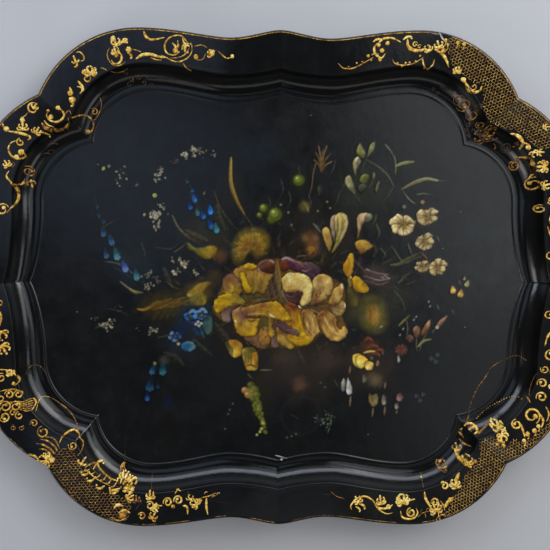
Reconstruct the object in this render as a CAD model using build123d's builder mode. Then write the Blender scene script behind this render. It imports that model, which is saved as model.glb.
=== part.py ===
from build123d import *
from math import cos, hypot, radians, sin
import os

os.makedirs("parts", exist_ok=True)

# A shaped oval tray of pressed sheet steel with a wired edge, in millimetres.
# It lies flat, its long side along X, with the origin under the middle of the well.

# Sheet and edge
SHEET = 0.9
WIRE_RADIUS = 1.2
ROLL_RADIUS = WIRE_RADIUS + SHEET
ROLL_PROUD = 0.2          # how far the rolled edge stands above the flange
SLIT_WIDTH = 0.7          # gap left between the end of the roll and the flange
SLIT_DROP = 0.25          # how far the gap lies below the wire's centre
SLIT_REACH = 1.7 * SHEET  # cuts right through the roll's wall and stops short of the flange

# Overall size
LENGTH = 780.0
WIDTH = 628.0
HEIGHT = 36.0
BRACE_SETBACK = 1.5       # how far the long side's brace lies inside the full width
DIP_HALF_WIDTH = 303.0
SHORT_CROWN_REACH = 379.0

# Cross-section of the upper surface, from the edge of the well outwards
STEP_HEIGHT = 1.2         # small step that frames the well
STEP_RUN = 1.4
STEP_ROUNDING = 0.2       # how far the top of the step rises on across the ledge
LEDGE_RUN = 4.5           # from the foot of the step to the foot of the cove
COVE_RUN = 30.0           # from the edge of the well to the arris
COVE_TOP_SLOPE = 74.0     # degrees
COVE_SPANS = 5
ARRIS_HEIGHT = 28.0       # sharp ridge between the cove and the flange
FLANGE_RUN = 42.0
WIRE_HEIGHT = HEIGHT - ROLL_RADIUS
FLANGE_EDGE_HEIGHT = HEIGHT - ROLL_PROUD

# The outline is a quarter mirrored about both axes. Each ring round the tray has the same key
# points: a brace in the middle of the long side, a dip beside it, the crown of the long side's
# lobe, the notch at the corner, the crown of the short side's lobe and the brace of the short
# side. A pull is how far a curve's handle reaches from its point.
WELL = {
    "long_brace": Vector(0, 238),
    "long_brace_pull": Vector(21, -5.5),
    "dip": Vector(66, 228),
    "dip_pull": Vector(24, 0),
    "long_crown": Vector(166, 242),
    "long_crown_pull": Vector(40, 0),
    "notch": Vector(237, 177),
    "notch_radius": Vector(1.5, 0),
    "short_crown": Vector(302.5, 102),
    "short_crown_pull": Vector(0, 45),
    "short_brace": Vector(321, 0),
    "short_brace_pull": Vector(-8, 16),
}
ARRIS = {
    "long_brace": Vector(0, 268.5),
    "long_brace_pull": Vector(21, -5.5),
    "dip": Vector(66, 260),
    "dip_pull": Vector(24, 0),
    "long_crown": Vector(168, 272.5),
    "long_crown_pull": Vector(40, 0),
    "notch": Vector(260, 203),
    "notch_radius": Vector(2.5, 0),
    "short_crown": Vector(334.5, 104),
    "short_crown_pull": Vector(0, 45),
    "short_brace": Vector(348, 0),
    "short_brace_pull": Vector(-7, 17),
}
# The wire's centre line, which sets the overall length and width
EDGE = {
    "long_brace": Vector(0, WIDTH / 2 - BRACE_SETBACK - ROLL_RADIUS),
    "long_brace_pull": Vector(16, 0),
    "dip": Vector(62, DIP_HALF_WIDTH - ROLL_RADIUS),
    "dip_pull": Vector(24, 0),
    "long_crown": Vector(173, WIDTH / 2 - ROLL_RADIUS),
    "long_crown_pull": Vector(45, 0),
    "notch": Vector(294.5, 231.5),
    "notch_radius": Vector(5, 0),
    "short_crown": Vector(SHORT_CROWN_REACH - ROLL_RADIUS, 106),
    "short_crown_pull": Vector(0, 45),
    "short_brace": Vector(LENGTH / 2 - ROLL_RADIUS, 0),
    "short_brace_pull": Vector(0, 20),
}


def between(inner, outer, share):
    """The ring that lies a share of the way from an inner ring to an outer one."""
    return {key: inner[key] + (outer[key] - inner[key]) * share for key in inner}


def outline(ring):
    """The whole ring as one closed wire, level at height 0."""
    brace, dip, crown = ring["long_brace"], ring["dip"], ring["long_crown"]
    dip_pull, crown_pull = ring["dip_pull"], ring["long_crown_pull"]
    side_crown, side_brace = ring["short_crown"], ring["short_brace"]
    side_pull = side_crown - ring["short_crown_pull"]
    with BuildLine() as line:
        Bezier(brace, brace + ring["long_brace_pull"], dip - dip_pull, dip)
        Bezier(dip, dip + dip_pull, crown - crown_pull, crown)
        TangentArc(crown, ring["notch"], tangent=(1, 0))
        TangentArc(side_crown, ring["notch"], tangent=(0, 1))
        Bezier(side_crown, side_pull, side_brace + ring["short_brace_pull"], side_brace)
        notch = line.vertices().sort_by_distance(ring["notch"])[0]
        fillet(notch, ring["notch_radius"].X)
        mirror(about=Plane.XZ)
        mirror(about=Plane.YZ)
    return line.wire()


def ring_at(run):
    """The ring at a distance outwards from the edge of the well."""
    if run <= COVE_RUN:
        return between(WELL, ARRIS, run / COVE_RUN)
    return between(ARRIS, EDGE, (run - COVE_RUN) / FLANGE_RUN)


def stack(stations, ruled=False):
    """A solid lofted through level sections, each given by its run and height."""
    with BuildPart() as solid:
        for run, height in stations:
            with BuildSketch(Plane.XY.offset(height)):
                add(outline(ring_at(run)))
                make_face()
        loft(ruled=ruled)
    return solid.part


def cove_station(span):
    """A point of the cove's hollow curve, which starts level and steepens to the arris."""
    foot = SHEET + STEP_HEIGHT
    slope, top = radians(COVE_TOP_SLOPE * span / COVE_SPANS), radians(COVE_TOP_SLOPE)
    run = LEDGE_RUN + (COVE_RUN - LEDGE_RUN) * sin(slope) / sin(top)
    height = foot + (ARRIS_HEIGHT - foot) * (1 - cos(slope)) / (1 - cos(top))
    return run, height


def shifted_down(before, point, after):
    """A point of the sheet's underside, square below a point of its upper side."""
    lead, trail = Vector(*point) - Vector(*before), Vector(*after) - Vector(*point)
    along = (lead.normalized() + trail.normalized()).normalized()
    reach = SHEET / along.dot(lead.normalized())
    return point[0] + reach * along.Y, point[1] - reach * along.X


FLANGE_SLOPE = (FLANGE_EDGE_HEIGHT - ARRIS_HEIGHT) / FLANGE_RUN
EDGE_RUN = COVE_RUN + FLANGE_RUN
OVERRUN = 2.5             # how far the hollow is cut past the wire's centre line
LAP = 0.4                 # how far the flange runs on into the roll
WELL_LEAD = 1.0           # a short piece of flat floor before the step

step = [(0, SHEET), (STEP_RUN, SHEET + STEP_HEIGHT - STEP_ROUNDING), (LEDGE_RUN, SHEET + STEP_HEIGHT)]
cove = [cove_station(span) for span in range(COVE_SPANS + 1)]
flange = [cove[-1], (EDGE_RUN + OVERRUN, FLANGE_EDGE_HEIGHT + OVERRUN * FLANGE_SLOPE)]

upper = [(-WELL_LEAD, SHEET), *step, *cove[1:], flange[-1]]
under = [shifted_down(*upper[i - 1:i + 2]) for i in range(1, len(upper) - 1)]
under_edge = FLANGE_EDGE_HEIGHT - SHEET * hypot(1, FLANGE_SLOPE) + LAP * FLANGE_SLOPE

wire_path = outline(EDGE).moved(Location((0, 0, WIRE_HEIGHT)))
wire_section = Plane(origin=wire_path @ 0, x_dir=(0, 1, 0), z_dir=wire_path % 0)

# Stiffening wire inside the rolled edge
with BuildPart() as rim_wire:
    with BuildSketch(wire_section):
        Circle(WIRE_RADIUS)
    sweep(path=wire_path)
rim_wire.part.label = "rim_wire"
export_step(rim_wire.part, "parts/rim_wire.step")

# Pressed pan: flat well, step, cove and flange, its edge rolled round the wire
with BuildPart() as tray_pan:
    add(stack(under[:3], ruled=True))
    add(stack(under[2:]))
    add(stack([under[-1], (EDGE_RUN + LAP, under_edge)]))
    add(stack([(EDGE_RUN + LAP, under_edge), (EDGE_RUN + LAP, HEIGHT)]))
    add(stack(step, ruled=True), mode=Mode.SUBTRACT)
    add(stack(cove), mode=Mode.SUBTRACT)
    add(stack(flange), mode=Mode.SUBTRACT)
    with BuildSketch(wire_section):
        Circle(ROLL_RADIUS)
    sweep(path=wire_path)
    add(rim_wire.part, mode=Mode.SUBTRACT)
    with BuildSketch(wire_section):
        with Locations((-WIRE_RADIUS - SHEET / 2, -SLIT_DROP)):
            Rectangle(SLIT_REACH, SLIT_WIDTH)
    sweep(path=wire_path, mode=Mode.SUBTRACT)
tray_pan.part.label = "tray_pan"
export_step(tray_pan.part, "parts/tray_pan.step")
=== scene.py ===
import math

import bpy
import numpy as np
from mathutils import Matrix, Vector
from mathutils.bvhtree import BVHTree


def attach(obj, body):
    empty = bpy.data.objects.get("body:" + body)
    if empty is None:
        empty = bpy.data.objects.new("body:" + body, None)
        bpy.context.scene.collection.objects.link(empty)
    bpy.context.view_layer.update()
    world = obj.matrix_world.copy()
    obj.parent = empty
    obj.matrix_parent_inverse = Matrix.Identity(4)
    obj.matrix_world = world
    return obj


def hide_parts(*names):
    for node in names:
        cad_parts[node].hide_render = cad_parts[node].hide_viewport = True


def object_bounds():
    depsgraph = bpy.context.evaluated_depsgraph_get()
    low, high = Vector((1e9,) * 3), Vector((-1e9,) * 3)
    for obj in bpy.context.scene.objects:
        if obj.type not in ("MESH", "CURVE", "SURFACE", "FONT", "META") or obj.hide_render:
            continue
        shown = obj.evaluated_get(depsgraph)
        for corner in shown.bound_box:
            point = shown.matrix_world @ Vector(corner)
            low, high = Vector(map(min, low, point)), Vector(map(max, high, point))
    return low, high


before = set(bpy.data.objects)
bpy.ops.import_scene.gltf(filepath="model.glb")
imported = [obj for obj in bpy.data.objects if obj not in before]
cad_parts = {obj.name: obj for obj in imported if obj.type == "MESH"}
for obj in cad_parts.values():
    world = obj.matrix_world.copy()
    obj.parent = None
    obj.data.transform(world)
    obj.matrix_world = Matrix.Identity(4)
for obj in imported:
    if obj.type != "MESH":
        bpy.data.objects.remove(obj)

# A large shaped tray of black-lacquered sheet steel, with gilt scrolls on its flange and a
# bouquet in oil colours in its well. Shapes are worked out in millimetres and made in metres.

MM = 0.001
cad_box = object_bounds()
CAD_SIZE = (cad_box[1] - cad_box[0]) / MM

# ------------------------------------------------------------------------------- the tray's form

SHEET = 0.9
WIRE_RADIUS = 1.2
ROLL_RADIUS = WIRE_RADIUS + SHEET
HALF_LENGTH = CAD_SIZE.x / 2
HALF_WIDTH = CAD_SIZE.y / 2
ROLL_CLEARANCE = 0.16  # room for the rim's gold below the top of the CAD's box
WIRE_HEIGHT = CAD_SIZE.z - ROLL_RADIUS - ROLL_CLEARANCE
COVE_RUN = 30.0
FLANGE_RUN = 42.0
ARRIS_HEIGHT = 28.0
FLANGE_EDGE_HEIGHT = CAD_SIZE.z - 0.2
FLANGE_BOW = 1.2
FLANGE_START, FLANGE_END = COVE_RUN + 2.5, COVE_RUN + FLANGE_RUN - 1.6
# Points along a quarter: brace to dip, dip to crown, a lobe, the notch, crown to end brace
BRACE_STEPS, DIP_STEPS, LOBE_STEPS, NOTCH_STEPS, END_STEPS = 22, 28, 34, 7, 33
SWAY, SWAY_LENGTH, SWAY_FADE = 0.1, 120, 10  # unevenness of the upper side
ROLL_TURN, ROLL_STEPS = (116, -163), 26  # degrees round the wire, outside the roll
INNER_TURN, INNER_STEPS, INNER_GAP = (-152, 88), 18, 0.02  # and back, inside it
SETTLING_ROUNDS = 500

# Key points of a quarter of each ring; a pull is how far a curve's handle reaches
WELL = dict(long_brace=(0, 238), long_brace_pull=(21, -5.5), dip=(66, 228), dip_pull=(24, 0),
            long_crown=(166, 242), long_crown_pull=(40, 0), notch=(237, 177),
            notch_radius=(1.5, 0), short_crown=(302.5, 102), short_crown_pull=(0, 45),
            short_brace=(321, 0), short_brace_pull=(-8, 16))
ARRIS = dict(long_brace=(0, 268.5), long_brace_pull=(21, -5.5), dip=(66, 260), dip_pull=(24, 0),
             long_crown=(168, 272.5), long_crown_pull=(40, 0), notch=(260, 203),
             notch_radius=(2.5, 0), short_crown=(334.5, 104), short_crown_pull=(0, 45),
             short_brace=(348, 0), short_brace_pull=(-7, 17))
EDGE = dict(long_brace=(0, HALF_WIDTH - 1.5 - ROLL_RADIUS), long_brace_pull=(16, 0),
            dip=(62, 303 - ROLL_RADIUS), dip_pull=(24, 0),
            long_crown=(173, HALF_WIDTH - ROLL_RADIUS), long_crown_pull=(45, 0),
            notch=(294.5, 231.5), notch_radius=(5, 0),
            short_crown=(379 - ROLL_RADIUS, 106), short_crown_pull=(0, 45),
            short_brace=(HALF_LENGTH - ROLL_RADIUS, 0), short_brace_pull=(0, 20))
WELL, ARRIS, EDGE = ({key: np.array(point, float) for key, point in ring.items()}
                     for ring in (WELL, ARRIS, EDGE))


def between(inner, outer, share):
    """The ring that lies a share of the way from an inner ring to an outer one."""
    return {key: inner[key] + (outer[key] - inner[key]) * share for key in inner}


def bezier(a, b, c, d, steps):
    """Points of a cubic curve, without its last one."""
    t = np.linspace(0, 1, steps, endpoint=False)[:, None]
    return (1 - t)**3 * a + 3 * (1 - t)**2 * t * b + 3 * (1 - t) * t**2 * c + t**3 * d


def arc(centre, radius, start, end, steps):
    """Points of an arc between two angles, without its last one."""
    angle = np.linspace(start, end, steps, endpoint=False)
    return centre + radius * np.stack([np.cos(angle), np.sin(angle)], -1)


def heading(vector):
    """A vector's angle in radians."""
    return math.atan2(vector[1], vector[0])


def direction(angle):
    """The unit vector at an angle in degrees."""
    return np.array([math.cos(math.radians(angle)), math.sin(math.radians(angle))])


def quarter(ring):
    """A quarter of a ring, from the long side's brace to just before the short side's."""
    brace, dip, crown = ring["long_brace"], ring["dip"], ring["long_crown"]
    side, side_brace, notch = ring["short_crown"], ring["short_brace"], ring["notch"]
    fall, reach = crown[1] - notch[1], notch[0] - crown[0]
    long_radius = (fall**2 + reach**2) / (2 * fall)
    long_centre = crown - (0, long_radius)
    fall, reach = side[0] - notch[0], notch[1] - side[1]
    short_radius = (fall**2 + reach**2) / (2 * fall)
    short_centre = side - (short_radius, 0)
    # the notch's own small arc touches both lobes from outside
    small = ring["notch_radius"][0]
    span = short_centre - long_centre
    gap = np.hypot(*span)
    to_long, to_short = long_radius + small, short_radius + small
    along = (to_long**2 - to_short**2 + gap**2) / (2 * gap)
    off = math.sqrt(to_long**2 - along**2)
    unit = span / gap
    centre = long_centre + unit * along + np.array([-unit[1], unit[0]]) * off
    if centre @ notch < 0 or np.hypot(*(centre - notch)) > 3 * small + 5:
        centre = long_centre + unit * along - np.array([-unit[1], unit[0]]) * off
    enter, leave = heading(centre - long_centre), heading(centre - short_centre)
    turn_in, turn_out = heading(long_centre - centre), heading(short_centre - centre)
    if turn_out < turn_in:
        turn_out += 2 * math.pi
    return np.vstack([
        bezier(brace, brace + ring["long_brace_pull"], dip - ring["dip_pull"], dip, BRACE_STEPS),
        bezier(dip, dip + ring["dip_pull"], crown - ring["long_crown_pull"], crown, DIP_STEPS),
        arc(long_centre, long_radius, math.pi / 2, enter, LOBE_STEPS),
        arc(centre, small, turn_in, turn_out, NOTCH_STEPS),
        arc(short_centre, short_radius, leave, 0, LOBE_STEPS),
        bezier(side, side - ring["short_crown_pull"],
               side_brace + ring["short_brace_pull"], side_brace, END_STEPS)])


def outline(ring):
    """The whole ring, clockwise from the middle of the long side."""
    part = quarter(ring)
    right = np.vstack([part, [ring["short_brace"]], part[:0:-1] * (1, -1)])
    return np.vstack([right, [-ring["long_brace"]], right[:0:-1] * (-1, 1)])


def ring_at(run):
    """The outline at a distance outwards from the edge of the well."""
    if run <= COVE_RUN:
        return outline(between(WELL, ARRIS, run / COVE_RUN))
    return outline(between(ARRIS, EDGE, (run - COVE_RUN) / FLANGE_RUN))


def outwards(ring):
    """Unit vectors square to a ring, pointing out of the tray."""
    along = np.roll(ring, -1, 0) - np.roll(ring, 1, 0)
    along /= np.hypot(*along.T)[:, None]
    return np.stack([-along[:, 1], along[:, 0]], -1)


FLOOR_SHARES = [0.02, 0.2, 0.4, 0.6, 0.78, 0.92]
BEAD = [(-6, 0.9), (-2, 0.9), (-0.5, 0.9), (0, 0.95), (0.35, 1.2), (0.8, 1.6), (1.3, 1.86),
        (1.9, 1.96), (2.6, 1.9), (3.3, 1.72), (4.0, 1.62)]
COVE_START = (4.6, 1.66)
COVE_TOP_SLOPE = math.radians(74)
COVE_SPANS = 20
ARRIS_SOFTENING = 0.7
FLANGE_ROWS = 14
PAINTED_AREA = (-264.0, -214.0), (266.0, 190.0)
PAINT_PITCH = 0.7
PAINT_TILES = 4
PAINT_LIFT, PAINT_FILM = 0.03, 0.02
BARELY_PAINTED = 0.015  # less cover than this leaves bare lacquer
# Dull rings that wet glasses have left in the lacquer: x, y, radius and strength
GLASS_RINGS = [(196, 205, 23, 0.09), (158, 172, 18, 0.07), (30, -178, 26, 0.08)]


def cove_point(share):
    """A point of the cove, which starts level and steepens to the arris."""
    slope = COVE_TOP_SLOPE * share
    run = COVE_START[0] + (COVE_RUN - COVE_START[0]) * math.sin(slope) / math.sin(COVE_TOP_SLOPE)
    rise = (1 - math.cos(slope)) / (1 - math.cos(COVE_TOP_SLOPE))
    return run, COVE_START[1] + (ARRIS_HEIGHT - COVE_START[1]) * rise


def upper_profile():
    """Run and height of the upper surface, from the floor of the well to the rolled edge."""
    cove = [cove_point(k / COVE_SPANS) for k in range(COVE_SPANS + 1)]
    slope = (FLANGE_EDGE_HEIGHT - ARRIS_HEIGHT) / FLANGE_RUN
    below, peak = np.array(cove[-2]), np.array(cove[-1])
    soft = ARRIS_SOFTENING
    foot = peak + (below - peak) / np.hypot(*(below - peak)) * soft
    over = peak + np.array([1, slope]) * soft
    arris = [tuple((1 - t)**2 * foot + 2 * t * (1 - t) * peak + t * t * over)
             for t in (0, 0.25, 0.5, 0.75, 1)]
    flange = []
    for run in np.linspace(FLANGE_START, FLANGE_END, FLANGE_ROWS):
        share = (run - COVE_RUN) / FLANGE_RUN
        bow = FLANGE_BOW * share * (1 - share)
        flange.append((run, ARRIS_HEIGHT + slope * (run - COVE_RUN) + bow))
    return BEAD + cove[:-1] + arris + flange


def lower_profile(upper):
    """The sheet's underside, a sheet's thickness square below its upper side."""
    points = np.array(upper)
    along = np.gradient(points, axis=0)
    along /= np.hypot(*along.T)[:, None]
    lower = points + np.stack([along[:, 1], -along[:, 0]], -1) * SHEET
    lower[:, 1] = np.maximum(lower[:, 1], 0)
    return [tuple(p) for p in lower]


def waviness(x, y, size, seed, count=7, shortest=0.7, calm=3):
    """Smooth noise between about -1 and 1, from a few seeded sine waves."""
    rng = np.random.default_rng(seed)
    total = np.zeros_like(x)
    for _ in range(count):
        angle, phase = rng.uniform(0, 2 * math.pi, 2)
        step = 2 * math.pi / (size * rng.uniform(shortest, 1.6))
        total += np.sin(step * (x * math.cos(angle) + y * math.sin(angle)) + phase)
    return total / calm


def tray_rows():
    """Rows of vertices from the middle of the well, over the edge and back underneath."""
    upper = upper_profile()
    rows = []

    def level(ring, height, sway):
        height = height + sway * waviness(*ring.T, SWAY_LENGTH, 4)
        rows.append(np.column_stack([ring, np.broadcast_to(height, len(ring))]))

    foot = ring_at(BEAD[0][0])
    for share in FLOOR_SHARES:
        level(foot * share, SHEET, 0)
    for run, height in upper:
        from_rim = COVE_RUN + FLANGE_RUN - run
        sway = SWAY * min(max(run, 0) / SWAY_FADE, 1) * min(from_rim / SWAY_FADE, 1)
        level(ring_at(run), height, sway)
    rows[-FLANGE_ROWS - 1:] = settle_flange(rows[-FLANGE_ROWS - 1:])
    edge = outline(EDGE)
    normal = outwards(edge)
    for angle in np.radians(np.linspace(*ROLL_TURN, ROLL_STEPS)):
        level(edge + normal * ROLL_RADIUS * math.cos(angle),
              WIRE_HEIGHT + ROLL_RADIUS * math.sin(angle), 0)
    inner = WIRE_RADIUS + INNER_GAP
    for angle in np.radians(np.linspace(*INNER_TURN, INNER_STEPS)):
        level(edge + normal * inner * math.cos(angle), WIRE_HEIGHT + inner * math.sin(angle), 0)
    for run, height in reversed(lower_profile(upper)):
        level(ring_at(run), height, 0)
    for share in reversed(FLOOR_SHARES):
        level(foot * share, 0, 0)
    return rows


def settle_flange(rows):
    """Lets the flange hang like a stretched skin, so that no crease runs out from a notch."""
    sheet = np.array(rows)
    along = np.linalg.norm(np.roll(sheet, -1, 1) - sheet, axis=2)
    across = np.linalg.norm(sheet[1:] - sheet[:-1], axis=2)
    after, before = 1 / along[1:-1]**2, 1 / np.roll(along, 1, 1)[1:-1]**2
    out, back = 1 / across[1:]**2, 1 / across[:-1]**2
    for _ in range(SETTLING_ROUNDS):
        z = sheet[..., 2]
        total = (np.roll(z, -1, 1)[1:-1] * after + np.roll(z, 1, 1)[1:-1] * before
                 + z[2:] * out + z[:-2] * back)
        sheet[1:-1, :, 2] = total / (after + before + out + back)
    return list(sheet)


def make_mesh(name, vertices, faces):
    """A smoothly shaded mesh object from vertices in millimetres."""
    mesh = bpy.data.meshes.new(name)
    mesh.from_pydata((np.asarray(vertices, float) * MM).tolist(), [], faces)
    mesh.validate()
    for polygon in mesh.polygons:
        polygon.use_smooth = True
    piece = bpy.data.objects.new(name, mesh)
    bpy.context.scene.collection.objects.link(piece)
    return piece


def make_tray():
    """The pan as one closed shell, wound out from the middle and back underneath."""
    rows = tray_rows()
    count = len(rows[0])
    vertices = np.vstack([[(0, 0, SHEET)], *rows, [(0, 0, 0)]])
    faces = []
    for k in range(count):
        nxt = (k + 1) % count
        faces.append((0, 1 + nxt, 1 + k))
        for r in range(len(rows) - 1):
            a = 1 + r * count
            faces.append((a + k, a + nxt, a + count + nxt, a + count + k))
        last = 1 + (len(rows) - 1) * count
        faces.append((last + k, last + nxt, len(vertices) - 1))
    return make_mesh("lacquered_pan", vertices, faces)


# ------------------------------------------------------------------------------------- materials

LACQUER_BLACK, LACQUER_BLOOM = (0.0018, 0.0022, 0.0027), (0.0046, 0.0042, 0.0038)
BARE_GROUND = (0.02, 0.018, 0.016)
PEEL_DEPTH = 0.0006  # metres


class Nodes:
    """Short ways to add and link shader nodes."""

    def __init__(self, name):
        self.material = bpy.data.materials.new(name)
        self.material.use_nodes = True
        self.tree = self.material.node_tree
        self.shader = self.tree.nodes["Principled BSDF"]
        self.place = self.tree.nodes.new("ShaderNodeTexCoord").outputs["Object"]

    def link(self, source, target):
        self.tree.links.new(source, target)

    def add(self, kind, **inputs):
        node = self.tree.nodes.new(kind)
        for key, value in inputs.items():
            node.inputs[key.replace("_", " ")].default_value = value
        return node

    def noise(self, scale, detail=4.0, roughness=0.5, stretch=(1, 1, 1)):
        """Smooth noise at a scale given in waves per metre."""
        mapping = self.add("ShaderNodeMapping")
        mapping.inputs["Scale"].default_value = stretch
        self.link(self.place, mapping.inputs["Vector"])
        node = self.add("ShaderNodeTexNoise", Scale=scale, Detail=detail, Roughness=roughness)
        self.link(mapping.outputs["Vector"], node.inputs["Vector"])
        return node.outputs["Fac"]

    def ramp(self, value, *stops):
        """A colour ramp of (position, colour or grey) stops."""
        node = self.tree.nodes.new("ShaderNodeValToRGB")
        elements = node.color_ramp.elements
        while len(elements) < len(stops):
            elements.new(0.5)
        for element, (position, colour) in zip(elements, stops):
            element.position = position
            grey = isinstance(colour, (int, float))
            element.color = (colour,) * 3 + (1,) if grey else (*colour, 1)
        self.link(value, node.inputs["Fac"])
        return node.outputs["Color"]

    def math(self, operation, a, b):
        node = self.tree.nodes.new("ShaderNodeMath")
        node.operation = operation
        for socket, value in zip(node.inputs, (a, b)):
            if isinstance(value, (int, float)):
                socket.default_value = value
            else:
                self.link(value, socket)
        return node.outputs["Value"]

    def mix(self, share, a, b, blend="MIX"):
        """Mixes two colours by a share."""
        node = self.tree.nodes.new("ShaderNodeMix")
        node.data_type = "RGBA"
        node.blend_type = blend
        for socket, value in ((node.inputs[0], share), (node.inputs[6], a), (node.inputs[7], b)):
            if isinstance(value, (int, float)):
                socket.default_value = value
            elif isinstance(value, tuple):
                socket.default_value = (*value, 1)
            else:
                self.link(value, socket)
        return node.outputs[2]

    def bump(self, height, distance, strength=1.0):
        node = self.add("ShaderNodeBump", Distance=distance, Strength=strength)
        self.link(height, node.inputs["Height"])
        self.link(node.outputs["Normal"], self.shader.inputs["Normal"])

    def set(self, **inputs):
        for key, value in inputs.items():
            self.shader.inputs[key.replace("_", " ")].default_value = value

    def attribute(self, name):
        """A colour carried by the vertices."""
        node = self.tree.nodes.new("ShaderNodeAttribute")
        node.attribute_name = name
        return node.outputs["Color"]

    def lacquer_colour(self):
        """Black, a little browner where the varnish has bloomed."""
        cloud = self.ramp(self.noise(9, 5), (0.35, 0.0), (0.75, 1.0))
        return self.mix(cloud, LACQUER_BLACK, LACQUER_BLOOM)

    def lacquer_surface(self):
        """The gloss of old varnish, shared by bare lacquer and by paint under varnish."""
        height = self.tree.nodes.new("ShaderNodeSeparateXYZ")
        self.link(self.place, height.inputs[0])
        level = self.math("MULTIPLY", height.outputs["Z"], 30)  # 1 at 33 mm
        worn = self.ramp(level, (0.036, 1.0), (0.07, 0.5), (0.3, 0.72))
        handled = self.ramp(self.noise(38, 6, 0.6), (0.3, 0.19), (0.7, 0.3))
        rubbed = self.math("MULTIPLY", worn, handled)
        for x, y, radius, strength in GLASS_RINGS:
            ring = self.add("ShaderNodeVectorMath")
            ring.operation = "DISTANCE"
            ring.inputs[1].default_value = (x * MM, y * MM, SHEET * MM)
            self.link(self.place, ring.inputs[0])
            off = self.math("SUBTRACT", ring.outputs["Value"], radius * MM)
            off = self.math("MULTIPLY", self.math("ABSOLUTE", off, 0.0), 300)  # 1 at 3.3 mm
            rubbed = self.math("ADD", rubbed, self.ramp(off, (0.0, strength), (1.0, 0.0)))
        streaks = self.ramp(self.noise(120, 3, 0.7, (1, 0.3, 1)), (0.5, 0.0), (0.8, 0.05))
        self.link(self.math("ADD", rubbed, streaks), self.shader.inputs["Roughness"])
        peel = self.math("ADD", self.math("MULTIPLY", self.noise(45, 3), 0.8),
                         self.math("MULTIPLY", self.noise(400, 2), 0.06))
        self.bump(peel, PEEL_DEPTH, 0.5)
        self.set(IOR=1.5)


def lacquer_material():
    """Old black oil lacquer: deep gloss, softened by handling, fine scratches and a dull bloom."""
    n = Nodes("black_lacquer")
    n.link(n.lacquer_colour(), n.shader.inputs["Base Color"])
    n.lacquer_surface()
    return n.material


def wire_material():
    """Drawn steel wire with lengthwise marks and a little rust."""
    n = Nodes("steel_wire")
    rust = n.ramp(n.noise(60, 5), (0.55, 0.0), (0.7, 1.0))
    n.link(n.mix(rust, (0.4, 0.39, 0.37), (0.12, 0.05, 0.025)), n.shader.inputs["Base Color"])
    n.link(n.ramp(n.noise(250, 3), (0.3, 0.3), (0.7, 0.55)), n.shader.inputs["Roughness"])
    n.set(Metallic=0.9)
    return n.material


def floor_material():
    """A pale matt studio floor."""
    n = Nodes("studio_floor")
    tone = n.ramp(n.noise(3, 3), (0.3, (0.42, 0.42, 0.428)), (0.7, (0.47, 0.47, 0.48)))
    n.link(tone, n.shader.inputs["Base Color"])
    n.set(Roughness=0.85)
    return n.material


# ---------------------------------------------------------------- painting on a grid of vertices

STAYING, SPREADING = 0.76, 0.12  # shares of wet paint that stay, and run to each neighbour
PETAL_BODY, STROKE_BODY, DAB_BODY = 0.16, 0.1, 0.14  # thickness of the paint


class Canvas:
    """A rectangle of the well as a grid of points that takes paint, in millimetres."""

    def __init__(self, low, high, pitch):
        self.low, self.pitch = low, pitch
        self.nx = int(round((high[0] - low[0]) / pitch)) + 1
        self.ny = int(round((high[1] - low[1]) / pitch)) + 1
        self.colour = np.zeros((self.ny, self.nx, 3))
        self.cover = np.zeros((self.ny, self.nx))
        self.relief = np.zeros((self.ny, self.nx))
        self.strength = 1.0

    def window(self, points, margin):
        """The slice of the grid near some points, and the coordinates of its vertices."""
        lo = (points.min(0) - margin - self.low) / self.pitch
        hi = (points.max(0) + margin - self.low) / self.pitch
        i0, j0 = np.maximum(np.floor(lo).astype(int), 0)
        i1 = min(int(np.ceil(hi[0])) + 1, self.nx)
        j1 = min(int(np.ceil(hi[1])) + 1, self.ny)
        x = self.low[0] + self.pitch * np.arange(i0, max(i1, i0))
        y = self.low[1] + self.pitch * np.arange(j0, max(j1, j0))
        grid = np.stack(np.meshgrid(x, y), -1)
        return (slice(j0, max(j1, j0)), slice(i0, max(i1, i0))), grid

    def lay(self, where, colour, alpha, body=0.0):
        """Lays paint of a colour and strength over a window, with some thickness."""
        alpha = np.clip(alpha, 0, 1)
        a = alpha[..., None]
        self.colour[where] = self.colour[where] * (1 - a) + colour * (a * self.strength)
        self.cover[where] = 1 - (1 - self.cover[where]) * (1 - alpha)
        self.relief[where] = np.maximum(self.relief[where] * (1 - 0.4 * alpha), body * alpha)

    def soften(self):
        """Lets neighbouring touches of wet paint run together a little."""
        for layer in (self.colour, self.cover):
            for rows in (layer, layer.swapaxes(0, 1)):
                rows[1:-1] = rows[1:-1] * STAYING + SPREADING * (rows[:-2] + rows[2:])


def smooth(x, low=0.0, high=1.0):
    """Rises smoothly from 0 at low to 1 at high."""
    t = np.clip((x - low) / (high - low), 0, 1)
    return t * t * (3 - 2 * t)


def curve(points, steps=10, closed=False):
    """A smooth line through given points."""
    p = np.asarray(points, float)
    if len(p) < 3 and not closed:
        t = np.linspace(0, 1, steps * (len(p) - 1) + 1)[:, None]
        return p[0] * (1 - t) + p[-1] * t
    ends = (p[-1:], p[:2]) if closed else (2 * p[0] - p[1], 2 * p[-1] - p[-2])
    q = np.vstack([ends[0], p, ends[1]])
    out = []
    t = np.linspace(0, 1, steps, endpoint=False)[:, None]
    for a, b, c, d in zip(q, q[1:], q[2:], q[3:]):
        out.append(0.5 * (2 * b + (c - a) * t + (2 * a - 5 * b + 4 * c - d) * t**2
                          + (3 * b - a - 3 * c + d) * t**3))
    if not closed:
        out.append(p[-1:])
    return np.vstack(out)


def lengths(line):
    """The distance along a line to each of its points."""
    return np.r_[0, np.cumsum(np.hypot(*np.diff(line, axis=0).T))]


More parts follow.
